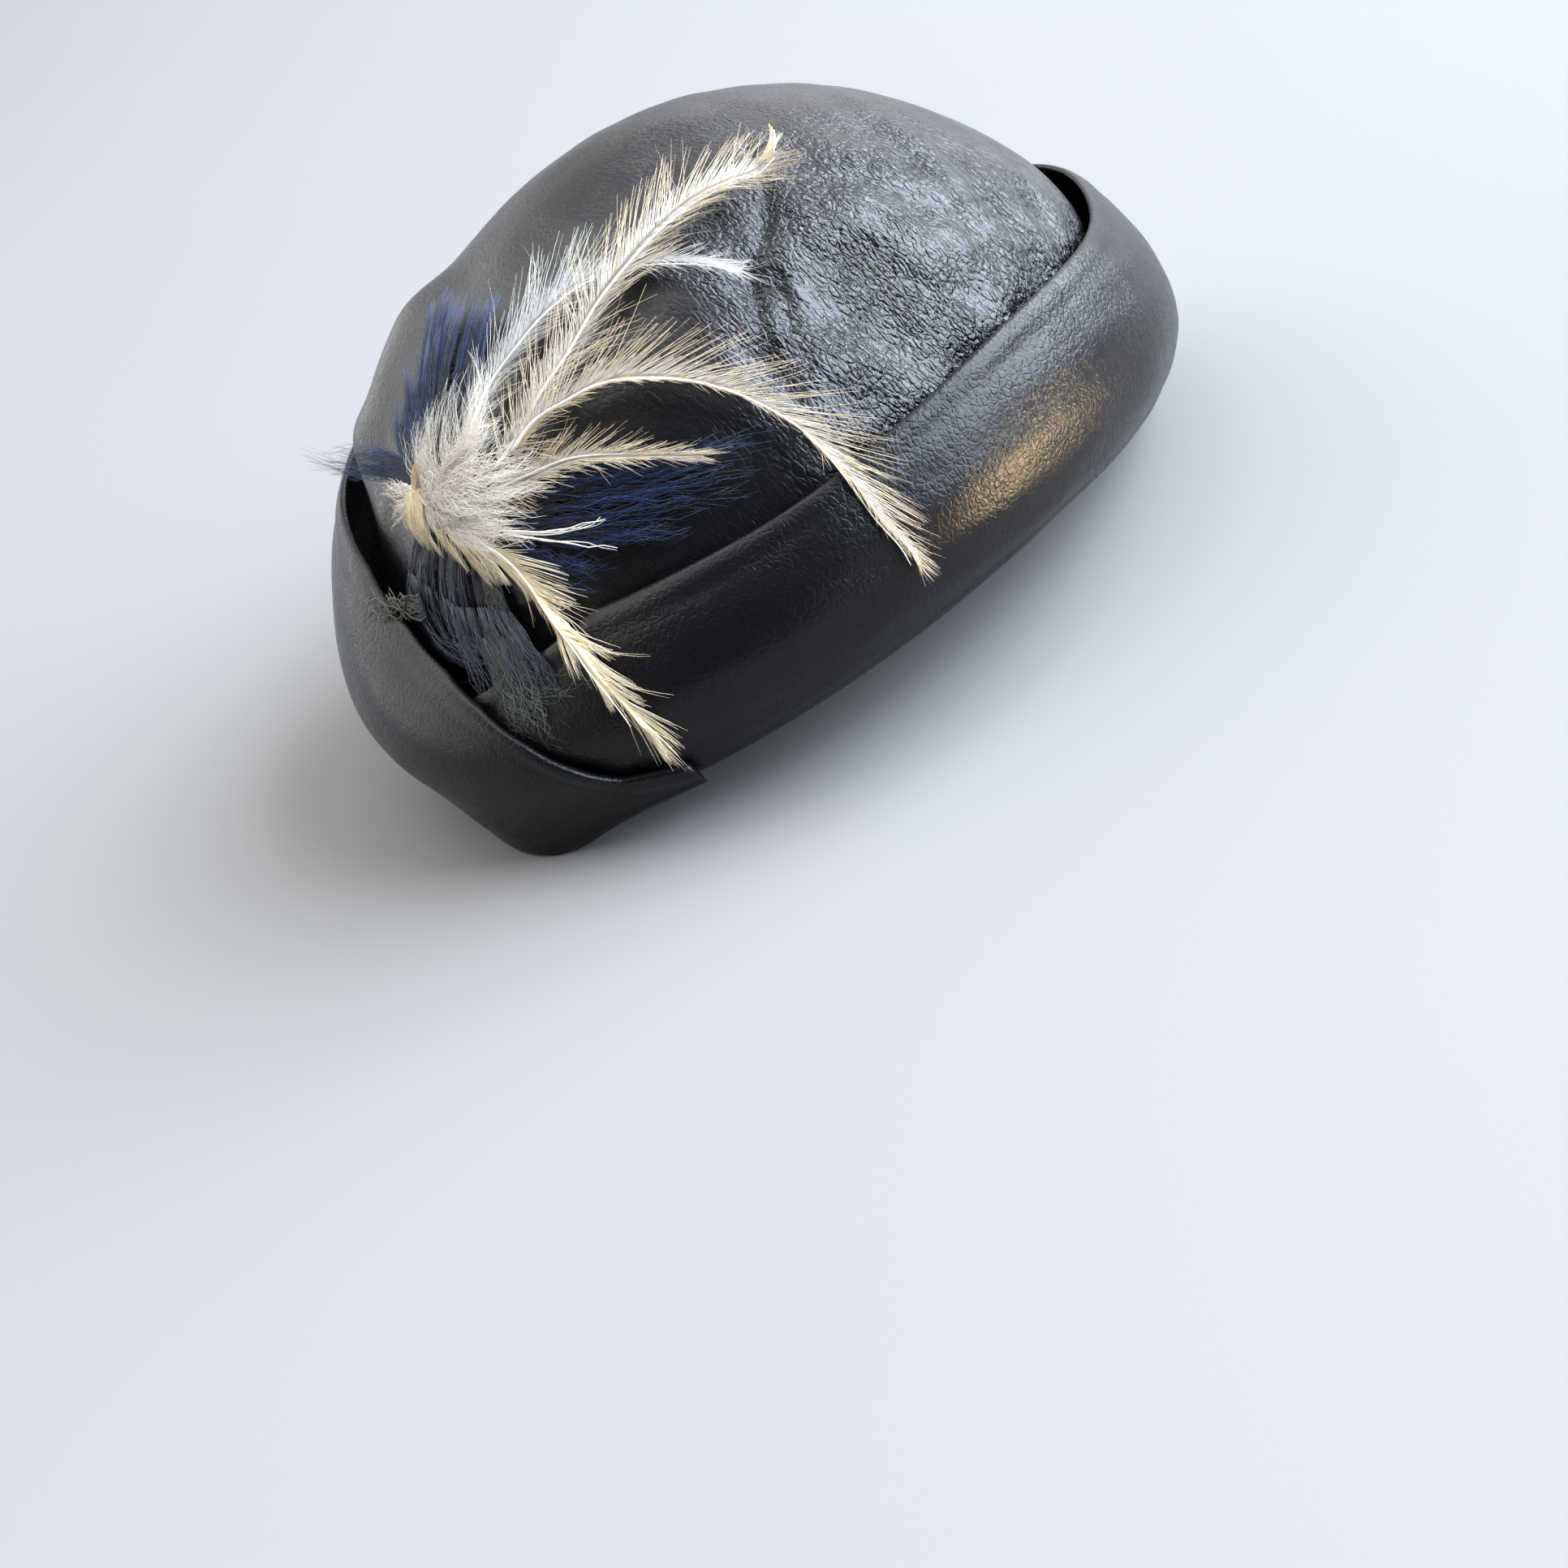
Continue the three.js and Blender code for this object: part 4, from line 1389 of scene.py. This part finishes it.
@dataclass(frozen=True)
class Fan:
    """Loose barbs that follow guides: each guide is a row of places from root to tip, with out in mm.

    Barbs lie between neighbouring guides, in locks, whose tips come together by draw. Short is how much of
    its length a barb may lack, and wander how many mm it strays. Tint is its mark "reach" at root and tip.
    """

    guides: tuple[tuple[tuple[float, float, float], ...], ...]
    count: int
    locks: int
    width: float = 0.2
    short: float = 0.4
    wander: float = 0.6
    draw: float = 0.7
    tint: tuple[float, float] = (0.0, 1.0)
    rise: float = 0.8
    rings: int = 9

    def grow(self, spray: Spray, stock: Stock, rng: np.random.Generator) -> None:
        """Grows the barbs.

        Args:
            spray: what they lie on.
            stock: where they are put.
            rng: the source of their small differences.
        """
        u = np.linspace(0, 1, self.rings)
        lock = rng.integers(0, self.locks, self.count)
        middle = rng.random(self.locks)[lock]
        own = np.clip(middle + rng.normal(0, 0.5 / self.locks, self.count), 0, 1)
        share = mix(own[:, None], middle[:, None], self.draw * u**2)
        reach = 1 - self.short * (0.6 * rng.random(self.locks)[lock] + 0.4 * rng.random(self.count))
        guides = np.array(self.guides, float)
        knots = np.moveaxis(guides, 0, 1).reshape(guides.shape[1], -1)
        along = spline(knots, u[None] * reach[:, None]).reshape(self.count, self.rings, len(guides), 3)
        at = share * (len(guides) - 1)
        low = np.minimum(at.astype(int), len(guides) - 2)
        pick = low[..., None, None]
        a, b = (np.take_along_axis(along, pick + i, 2)[:, :, 0] for i in range(2))
        turn, climb, out = np.moveaxis(mix(a, b, (at - low)[..., None]), -1, 0)
        out = (out + rng.uniform(0, 1, (self.count, 1)) * self.rise * u) * MM
        lines = spray.dome.place(turn, climb, out)
        up = spray.dome.outward(lines)
        across = unit(np.cross(unit(np.gradient(lines, axis=1)), up))
        sway = spray.wander(self.count, self.rings, rng) * (0.25 + u) * self.wander * MM
        lines = spray.dome.settle(lines + across * sway[..., None], out)
        spray.comb(stock, lines, self.width * MM, self.tint, rng)


@dataclass(frozen=True)
class Tuft:
    """A piece made of fans, in place of CAD nodes."""

    name: str
    finish: Finish
    fans: tuple[Fan, ...]
    seed: int
    nodes: tuple[str, ...] = ()

    def build(self, spray: Spray) -> None:
        """Makes the tuft and seats it.

        Args:
            spray: what it lies on.
        """
        rng = np.random.default_rng(self.seed)
        stock = Stock()
        for fan in self.fans:
            fan.grow(spray, stock, rng)
        seat(stock.make(self.name, self.finish.finish()), self.finish, *self.nodes)


NAVY_TOPS = (
    Fan((((-13, 36, 2), (-19, 43, 2), (-26, 50, 2.3), (-32, 55.5, 3)),
         ((-9, 36, 2), (-13, 43, 2), (-18, 50.5, 2.4), (-23, 57, 3)),
         ((-6, 36, 2.4), (-8, 43, 2.4), (-11, 50.5, 2.6), (-14, 57.5, 3)),
         ((-3, 37, 2), (-3.5, 44, 2), (-4.5, 51, 2), (-5.5, 57.5, 2.6)),
         ((1, 38, 1.6), (2, 44, 1.6), (2, 51, 1.8), (1, 57.5, 2.2))),
        count=620, locks=42, width=0.22, short=0.35, wander=0.5),
)
NAVY_LEFT = (
    Fan((((-9, 33, 2), (-13, 36, 2.4), (-18, 40, 3), (-23, 45.5, 4.5)),
         ((-8, 35, 2), (-11, 39, 2.4), (-15, 44, 3), (-20, 50.5, 4.5)),
         ((-6, 36, 2), (-8, 41, 2.4), (-11, 46, 3), (-14, 52, 4))),
        count=420, locks=30, width=0.24, short=0.45, wander=1.1),
    Fan((((-9, 32, 2), (-14, 33.5, 2.6), (-20, 36, 3), (-24, 40, 3.5)),
         ((-8, 33, 2), (-12, 36, 2.6), (-16, 39, 3), (-19, 43, 3.5))),
        count=200, locks=20, width=0.2, short=0.5, wander=1.2),
)
NAVY_SIDE = (
    Fan((((-8, 32, 2.2), (-15, 34.5, 4), (-24, 33, 8), (-35, 29.3, 13)),
         ((-8, 31.3, 2.2), (-16, 33, 4.2), (-25, 31, 8.6), (-38, 28, 14)),
         ((-8, 30.5, 2.2), (-16, 31.4, 4.2), (-25, 29.4, 8.6), (-36, 27, 13.4))),
        count=190, locks=40, width=0.15, short=0.6, wander=1.2, draw=0.8),
)
HACKLES = (
    Fan((((8, 31, 1.5), (23, 33, 1.6), (40, 31.5, 1.6), (57, 28.3, 1.6)),
         ((8, 30, 1.5), (23, 30.5, 1.6), (40, 29, 1.6), (58, 26, 1.6)),
         ((8, 29, 1.5), (22, 28, 1.6), (38, 26.5, 1.6), (54, 23.6, 1.6)),
         ((8, 28, 1.5), (20, 25.5, 1.6), (34, 23.5, 1.6), (46, 21, 1.6)),
         ((8, 27, 1.5), (17, 23, 1.6), (27, 20.5, 1.6), (37, 18, 1.6)),
         ((8, 25, 1.5), (12, 21.5, 1.6), (18, 18.5, 1.6), (25, 15.5, 1.6))),
        count=400, locks=34, width=0.24, short=0.65, wander=1.6),
)
SLATE_LOW = (
    Fan((((-11, 28, 1.6), (-15, 22, 1.8), (-17, 16, 2.4), (-16, 9.5, 4)),
         ((-7, 26, 1.6), (-9, 19, 1.6), (-9, 13, 1.8), (-6, 7, 3)),
         ((-2, 25, 1.6), (-3, 17, 1.6), (-1, 10.5, 1.8), (2, 4, 3.4)),
         ((3, 24, 1.6), (3, 16, 1.6), (5, 9.5, 1.8), (9, 2.5, 3.4)),
         ((7, 22, 1.6), (9, 16.5, 1.6), (12, 11, 1.8), (14, 5, 3))),
        count=210, locks=30, width=0.42, short=0.5, wander=0.9, draw=0.8),
    Fan((((-13, 20, 2.5), (-11, 13, 3), (-4, 7, 3.5), (6, 5, 3.5)),
         ((-3, 17, 2.5), (0, 11, 3), (7, 8, 3.5), (15, 8, 3.5)),
         ((4, 14, 2.5), (8, 8, 3), (14, 6, 3.5), (19, 9, 3.5))),
        count=70, locks=30, width=0.26, short=0.6, wander=1.6, draw=0.6),
    # Barbs over the front of the cuff: their tint stops at 0.35, so they stay near the dark root colour. That
    # is partly their own slate tone and partly painted shade, where they lie low in the gap beside the lap.
    Fan((((-2, 16, 3), (0, 11, 5), (3, 6, 8.2), (6, 2.4, 11.2)),
         ((2, 16, 3), (5, 10, 6), (9, 4, 10.2), (11, -1.5, 14.4)),
         ((6, 16, 3), (10, 9.5, 6.8), (13, 2, 11.9), (14.5, -5, 15.3)),
         ((10, 15, 3), (14, 10, 6.8), (17, 4, 10.4), (18.5, -2, 14.7))),
        count=130, locks=60, width=0.26, short=0.6, wander=1.5, draw=0.4, tint=(0.0, 0.35)),
)
FRAYS = (
    Fan((((6, 20, 2), (6, 15, 2.6), (7, 10, 3), (7, 3, 4.4)),
         ((8, 18, 2), (9, 13, 2.6), (10, 8.5, 3), (11, 3, 4.4))),
        count=70, locks=60, width=0.2, short=0.5, wander=2.8, draw=0.1, rise=2.0),
    Fan((((5, 12, 5), (7, 6, 8.8), (9, 1, 12.6), (11, -3.5, 15)),
         ((11, 12, 5.4), (13, 6, 9), (14.5, 1, 12.8), (16, -5, 15.5))),
        count=90, locks=60, width=0.24, short=0.6, wander=2.6, draw=0.2, rise=1.2),
    Fan((((8, 9, 7.2), (13, 7, 8.4), (18, 7, 8.4), (24, 8, 8.2)),
         ((10, 4, 10.4), (15, 2.5, 11.4), (19, 3, 11.2), (24, 5, 10.2))),
        count=12, locks=12, width=0.16, short=0.5, wander=2.0, draw=0.1, rise=1.2),
    Fan((((9, 12, 3), (6, 8, 4), (2, 5, 4.4), (-3, 4, 4.8)),
         ((9, 8, 3), (12, 4, 4), (16, 3, 4.4), (20, 5, 5))),
        count=26, locks=26, width=0.18, short=0.6, wander=3.5, draw=0.1, rise=2.0),
    Fan((((-9, 17, 3), (-13, 15.8, 5), (-17, 14.6, 6.8), (-22, 13.6, 8.4)),
         ((-8, 13.5, 3), (-12, 12.6, 5), (-16, 12.4, 6.8), (-20, 12.2, 8.4))),
        count=20, locks=12, width=0.75, short=0.7, wander=3.2, draw=0.7, rise=3.0),
)
DOWN = (
    Fan((((-8, 31, 4), (-9.5, 33.5, 6), (-10, 36, 7), (-10, 39, 7.5)),
         ((-3, 31, 4), (-3, 35, 6.5), (-2, 39, 7.5), (0, 43, 8)),
         ((3, 31, 4), (3, 36, 7), (4, 41, 8), (6, 47, 8)),
         ((7, 31, 4), (10, 35, 7), (14, 39, 8), (18, 44, 8))),
        count=260, locks=40, width=0.14, short=0.6, wander=1.0, draw=0.6, tint=(0.0, 0.5), rise=1.5),
    Fan((((3, 31, 4), (10, 33, 7), (17, 34, 7.5), (25, 34.5, 7.5)),
         ((3, 29, 4), (10, 29.5, 7), (16, 29.5, 7.5), (23, 29, 7.5)),
         ((1, 28, 4), (7, 26.5, 6.5), (13, 25.5, 7), (19, 23.5, 7)),
         ((-2, 28, 4), (3, 25.5, 5.5), (8, 23.5, 6), (13, 20.5, 6))),
        count=360, locks=50, width=0.14, short=0.6, wander=1.0, draw=0.6, tint=(0.0, 0.5), rise=1.5),
    Fan((((-7, 32, 4), (-13, 34, 4.6), (-18, 35, 4.6)),
         ((-7, 31.3, 4), (-13, 32, 4.6), (-20, 32.5, 4.6)),
         ((-7, 30.7, 4), (-13, 30, 4.6), (-22, 29.6, 4.6)),
         ((-7, 30, 4), (-13, 28, 4.6), (-18, 26, 4.6)),
         ((-7, 29.5, 4), (-12, 26.5, 4.6), (-15, 23, 4.6))),
        count=84, locks=13, width=0.2, short=0.6, wander=0.8, draw=0.9),
    Fan((((-8, 31.5, 3), (-5, 34.5, 6), (-1, 36, 6.5)),
         ((-8, 30, 3), (0, 32, 6.5), (8, 34, 6.5)),
         ((-7, 29, 3), (1, 29.5, 6.5), (9, 30, 6.5)),
         ((-6, 28, 3), (1, 26.5, 5), (8, 25, 5))),
        count=190, locks=50, width=0.22, short=0.6, wander=1.9, draw=0.4, tint=(0.0, 0.3), rise=2.6),
    Fan((((-3, 31.5, 5), (3, 35, 7.4), (8, 38, 8), (12, 41.5, 8)),
         ((-3, 31, 5), (5, 33, 7.4), (12, 35, 8), (19, 37.5, 8)),
         ((-3, 30.5, 5), (5, 31, 7.4), (13, 31.5, 8), (21, 32, 8)),
         ((-3, 30, 5), (4, 28.6, 7), (11, 27.4, 7.4), (18, 26, 7.4))),
        count=290, locks=50, width=0.2, short=0.65, wander=1.6, draw=0.5, tint=(0.0, 0.4), rise=2.6),
    Fan((((12, 25.5, 5), (19, 23.2, 6), (25, 21, 6), (31, 18.2, 5)),
         ((12, 26, 5), (18, 25.2, 6), (24, 24.8, 6), (28, 25.6, 5.5))),
        count=6, locks=2, width=0.42, short=0.1, wander=0.5, draw=0.9),
)
GOLD_KNOT = (
    Fan((((-9, 30.6, 4.6), (-8, 33, 5.5), (-6, 35.5, 5.8), (-4.5, 38, 5.6)),
         ((-8, 30.6, 4.6), (-6.5, 32.6, 5.5), (-4.4, 34.4, 5.8), (-3, 35.2, 5.6))),
        count=60, locks=7, width=0.16, short=0.5, wander=0.5, draw=0.8),
    Fan((((-8.5, 31.6, 5.2), (-4, 32.6, 7), (1, 33.2, 7.6)),
         ((-8.5, 30.2, 5.2), (-3, 29.4, 7), (4, 29.6, 7.6))),
        count=26, locks=13, width=0.13, short=0.6, wander=0.9, draw=0.5),
    Fan((((-8.9, 30.7, 4.6), (-11.4, 29.4, 4.4), (-12.2, 27.4, 4), (-9.8, 25.2, 3.6)),
         ((-7.5, 30.2, 4.9), (-8, 27.9, 4.6), (-7, 25.8, 4), (-4, 22.9, 3.4)),
         ((-5, 29.2, 4.9), (-4, 27, 4.7), (-2, 24.7, 4.1), (1.5, 21.4, 3.4)),
         ((-1, 27.9, 4.9), (1, 25.8, 4.7), (4, 23.3, 4.1), (7.9, 18.3, 3.4)),
         ((4, 25.9, 4.9), (6.5, 24, 4.7), (9, 21.8, 4.4), (12, 18.6, 4.2))),
        count=460, locks=26, width=0.25, short=0.3, wander=0.3, draw=0.5, tint=(0, 1), rise=0.5),
    Fan((((80.5, 59.6, 5.6), (84.4, 59.6, 8), (87.6, 60.4, 9), (88.6, 61, 10)),
         ((83, 58.2, 5.6), (85.4, 58.4, 7.4), (88, 59.6, 8.6), (88.9, 60.6, 9.6))),
        count=46, locks=4, width=0.2, short=0.3, wander=0.3, draw=0.9),
)

FEATHERS: tuple[Plume | Tuft, ...] = (
    Tuft("navy_upper_barbs", Finish.NAVY, NAVY_TOPS, 21, ("navy_plume_upper",)),
    Tuft("navy_curled_barbs", Finish.NAVY, NAVY_LEFT, 22, ("navy_plume_curled",)),
    Tuft("navy_side_barbs", Finish.NAVY, NAVY_SIDE, 23, ("navy_side_tuft",)),
    Tuft("navy_hackle_barbs", Finish.NAVY, HACKLES, 24, ("navy_hackles",)),
    Tuft("slate_lower_barbs", Finish.SLATE, SLATE_LOW, 25, ("navy_lower_plumes",)),
    Tuft("frayed_barbs", Finish.MOSS, FRAYS, 26),
    Plume(
        "broad_plume", Finish.WHITE,
        path=((0, 31, 3.6), (3.4, 37.7, 3.6), (6.6, 44.1, 3.6), (11.8, 48.8, 3.6), (17.7, 52.6, 3.6),
              (26.3, 55.5, 3.6), (36.8, 56.1, 3.8), (46.3, 54.4, 4.2), (54.1, 51.4, 5.2), (60.4, 48.1, 6)),
        left=Side(((0, 8, 40), (0.12, 14, 34), (0.3, 21, 32), (0.5, 19, 34), (0.7, 8, 24), (1, 8, 12)),
                  count=230, bend=-6),
        right=Side(((0, 12, 44), (0.4, 14, 30), (0.7, 9, 20), (1, 8, 12)), count=230, bend=-2),
        seed=31, crinkle=3.5, loose=0.2),
    Plume(
        "short_plume", Finish.CREAM,
        path=((8, 30.5, 3.4), (15, 32, 3.4), (24, 33.2, 3.4), (33, 31.8, 3.4), (43, 29, 3.4)),
        left=Side(((0, 13, 34), (0.5, 13, 24), (1, 7, 8)), count=170, bend=2, gold=0.3),
        right=Side(((0, 11, 34), (0.5, 9, 22), (1, 6, 8)), count=150, bend=2, gold=0.3),
        seed=32, loose=0.25),
    Plume(
        "long_plume", Finish.CREAM,
        path=((11.3, 33.6, 5.2), (16, 37.5, 5.2), (20.2, 42.1, 5.2), (25.7, 46.4, 5.2), (31.7, 51.5, 5.2),
              (38.6, 55.1, 5.2), (46.3, 57.9, 5.2), (54.5, 59.7, 5.2), (63.2, 60.4, 5.2), (71.2, 60.1, 5.2),
              (78.9, 59.4, 5.4), (84, 59, 7)),
        left=Side(((0, 14, 46), (0.15, 17, 38), (0.35, 20, 36), (0.6, 21, 35), (0.85, 17, 32), (1, 8, 20)),
                  count=225, bend=3, gold=0.15),
        right=Side(((0, 12, 42), (0.15, 17, 34), (0.4, 17, 30), (0.7, 13, 27), (0.88, 13, 24), (1, 9, 22)),
                   count=215, bend=2, gold=0.15),
        seed=33),
    Plume(
        "curled_plume", Finish.CREAM,
        path=((15.5, 35.1, 7), (19.6, 38.2, 7), (26, 39.8, 7), (30.9, 40.5, 7), (36.4, 39.9, 7),
              (43.8, 37.7, 7), (50.7, 33.6, 7), (56.1, 27.6, 7), (58.5, 22.1, 7.4), (59.6, 17.2, 8.4),
              (60.3, 11.6, 10.4), (61.3, 7.1, 12.4), (61.6, 4, 13)),
        left=Side(((0, 11, 38), (0.25, 20, 29), (0.6, 23, 25), (0.8, 18, 20), (1, 6, 8)),
                  count=230, bend=-1, gold=0.35),
        right=Side(((0, 7, 30), (0.3, 6, 17), (0.6, 6, 15), (0.9, 5, 10), (1, 3, 5)),
                   count=300, bend=4, gold=0.8),
        seed=34, over_cuff=True),
    Plume(
        "drooping_plume", Finish.GOLDEN,
        path=((-8.9, 30.7, 4.5), (-0.9, 27.7, 4.5), (5.7, 25.1, 4.5), (11.5, 22, 4.5), (15.1, 18.1, 5),
              (17.9, 13.7, 7), (20.5, 10.2, 9.5), (22.4, 6.8, 12), (24.7, 2, 14.5), (25.8, -2, 16)),
        left=Side(((0, 6, 60), (0.15, 8, 36), (0.35, 17, 20), (0.5, 18, 12), (0.75, 18, 7), (1, 14, 3)),
                  count=200, bend=-2),
        right=Side(((0, 8, 40), (0.15, 10, 27), (0.35, 12, 16), (0.6, 15, 9), (0.8, 15, 8), (1, 14, 4)),
                   count=200, bend=-1),
        seed=35, over_cuff=True, width=0.25, rise=1.0, layers=(WEB, FORKED, STRAY)),
    Tuft("root_down", Finish.DOWN, DOWN, 41, ("down_tuft",)),
    Tuft("gold_knot", Finish.GOLDEN, GOLD_KNOT, 42),
)


# ------------------------------------------------------------------ studio


@dataclass(frozen=True)
class Lobe:
    """A brighter or dimmer part of the room.

    Azimuth is 0 in front of the hat and 90 on the wearer's left. It has its whole amount inside the inner
    angle and none outside the outer one. All angles are in degrees.
    """

    azimuth: float
    height: float
    inner: float
    outer: float
    amount: float

    def direction(self) -> tuple[float, float, float]:
        """The unit vector towards its middle."""
        azimuth, height = np.radians(self.azimuth), np.radians(self.height)
        return (float(np.sin(azimuth) * np.cos(height)), float(-np.cos(azimuth) * np.cos(height)),
                float(np.sin(height)))

    @staticmethod
    def cosine(angle: float) -> float:
        """The cosine of an angle in degrees."""
        return float(np.cos(np.radians(angle)))


@dataclass(frozen=True)
class Lamp:
    """A soft panel light at a place, turned to face a target.

    Size is its width and height in metres, and power is in watts. On_matt is whether it lights matt surfaces
    as well as glossy ones.
    """

    name: str
    place: tuple[float, float, float]
    target: tuple[float, float, float]
    size: tuple[float, float]
    power: float
    colour: Colour
    on_matt: bool = True

    def build(self) -> None:
        """Makes the light."""
        light = bpy.data.lights.new(self.name, "AREA")
        light.shape = "RECTANGLE"
        light.size, light.size_y = self.size
        light.energy = self.power
        light.color = self.colour
        holder = bpy.data.objects.new(self.name, light)
        holder.location = self.place
        facing = Vector(self.target) - Vector(self.place)
        holder.rotation_euler = facing.to_track_quat("-Z", "Y").to_euler()
        holder.visible_camera = False
        holder.visible_diffuse = self.on_matt
        bpy.context.scene.collection.objects.link(holder)


@dataclass
class Studio:
    """A plain pale floor, soft lights and the camera."""

    eye: Vector = field(default_factory=lambda: Vector((0.3982, -0.3645, 0.2663)))
    right: Vector = field(default_factory=lambda: Vector((0.742, 0.575, -0.344)))
    back: Vector = field(default_factory=lambda: Vector((0.662, -0.553, 0.506)).normalized())
    lens: float = 60.0
    sensor: float = 36.0
    floor_size: float = 8.0
    floor_gap: float = 0.0001
    floor_shades: tuple[Colour, Colour] = ((0.225, 0.22, 0.212), (0.235, 0.23, 0.222))
    room_colour: Colour = (0.97, 0.98, 1.0)
    room_light: float = 0.66
    seen_light: float = 0.92
    lobes: tuple[Lobe, ...] = (
        Lobe(azimuth=42, height=18, inner=26, outer=62, amount=-0.62),
        Lobe(azimuth=-72, height=10, inner=22, outer=52, amount=1.7),
        Lobe(azimuth=-165, height=24, inner=8, outer=38, amount=1.3),
        Lobe(azimuth=-70, height=66, inner=14, outer=34, amount=3.0),
        Lobe(azimuth=150, height=72, inner=8, outer=30, amount=2.2),
    )
    lamps: tuple[Lamp, ...] = (
        Lamp("window", place=(1.376, 1.528, 1.290), target=(0.0, 0.0, 0.05), size=(3.48, 2.40),
             power=375.0, colour=(0.83, 0.93, 1.10)),
        Lamp("warm_lamp", place=(0.150, 0.034, 0.002), target=(0.10, 0.03, 0.05), size=(0.07, 0.05),
             power=0.34, colour=(1.0, 0.74, 0.42), on_matt=False),
    )

    def floor(self) -> None:
        """A broad pale floor just under the hat."""
        bpy.ops.mesh.primitive_plane_add(size=self.floor_size, location=(0, 0, -self.floor_gap))
        plane = bpy.context.object
        plane.name = "floor"
        bench = Bench("pale_floor")
        cloud = bench.noise(bench.position(), 3.0, 3.0)
        shade = bench.blend(cloud, *self.floor_shades)
        plane.data.materials.append(bench.surface(Base_Color=shade, Roughness=0.9, Specular_IOR_Level=0.0))

    def world(self) -> None:
        """A room whose light is the sum of its lobes; seen directly, it is plain and pale."""
        world = bpy.data.worlds.new("pale_room")
        bench = Bench.of_world(world)
        where = Wire(bench, bench.node("ShaderNodeTexCoord").outputs["Generated"])
        glow: Wire | float = self.room_light
        for lobe in self.lobes:
            ahead = bench.vector("DOT_PRODUCT", where, lobe.direction(), output=1)
            glow = glow + ahead.between(lobe.cosine(lobe.outer), lobe.cosine(lobe.inner)) * lobe.amount
        seen = Wire(bench, bench.node("ShaderNodeLightPath").outputs["Is Camera Ray"])
        power = glow + seen * (self.seen_light - glow)
        colour = (*self.room_colour, 1.0)
        room = bench.node("ShaderNodeBackground", None, {"Color": colour, "Strength": power})
        out = bench.node("ShaderNodeOutputWorld")
        bench.tree.links.new(room.outputs[0], out.inputs["Surface"])
        bpy.context.scene.world = world
        bpy.context.scene.view_settings.view_transform = "Standard"

    def camera(self) -> None:
        """The camera, turned so that the hat leans in the frame as it is worn."""
        data = bpy.data.cameras.new("camera")
        data.lens = self.lens
        data.sensor_width = self.sensor
        data.clip_start, data.clip_end = 0.01, 50.0
        right = (self.right - self.back * self.right.dot(self.back)).normalized()
        holder = bpy.data.objects.new("camera", data)
        axes = Matrix((right, self.back.cross(right), self.back)).transposed()
        holder.matrix_world = Matrix.Translation(self.eye) @ axes.to_4x4()
        bpy.context.scene.collection.objects.link(holder)
        bpy.context.scene.camera = holder

    def build(self) -> None:
        """Sets up the floor, the lights and the camera."""
        self.floor()
        self.world()
        for lamp in self.lamps:
            lamp.build()
        self.camera()


def main() -> None:
    """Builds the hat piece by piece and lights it."""
    logging.basicConfig(level=logging.INFO, format="%(name)s %(message)s")
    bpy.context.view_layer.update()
    dome = Dome()
    Crown(dome).build()
    cuff = Cuff(dome)
    cuff.build()
    spray = Spray(dome, Cover(dome, cuff))
    for feather in FEATHERS:
        feather.build(spray)
    Studio().build()
    bpy.context.view_layer.update()


if __name__ == "__main__":
    main()
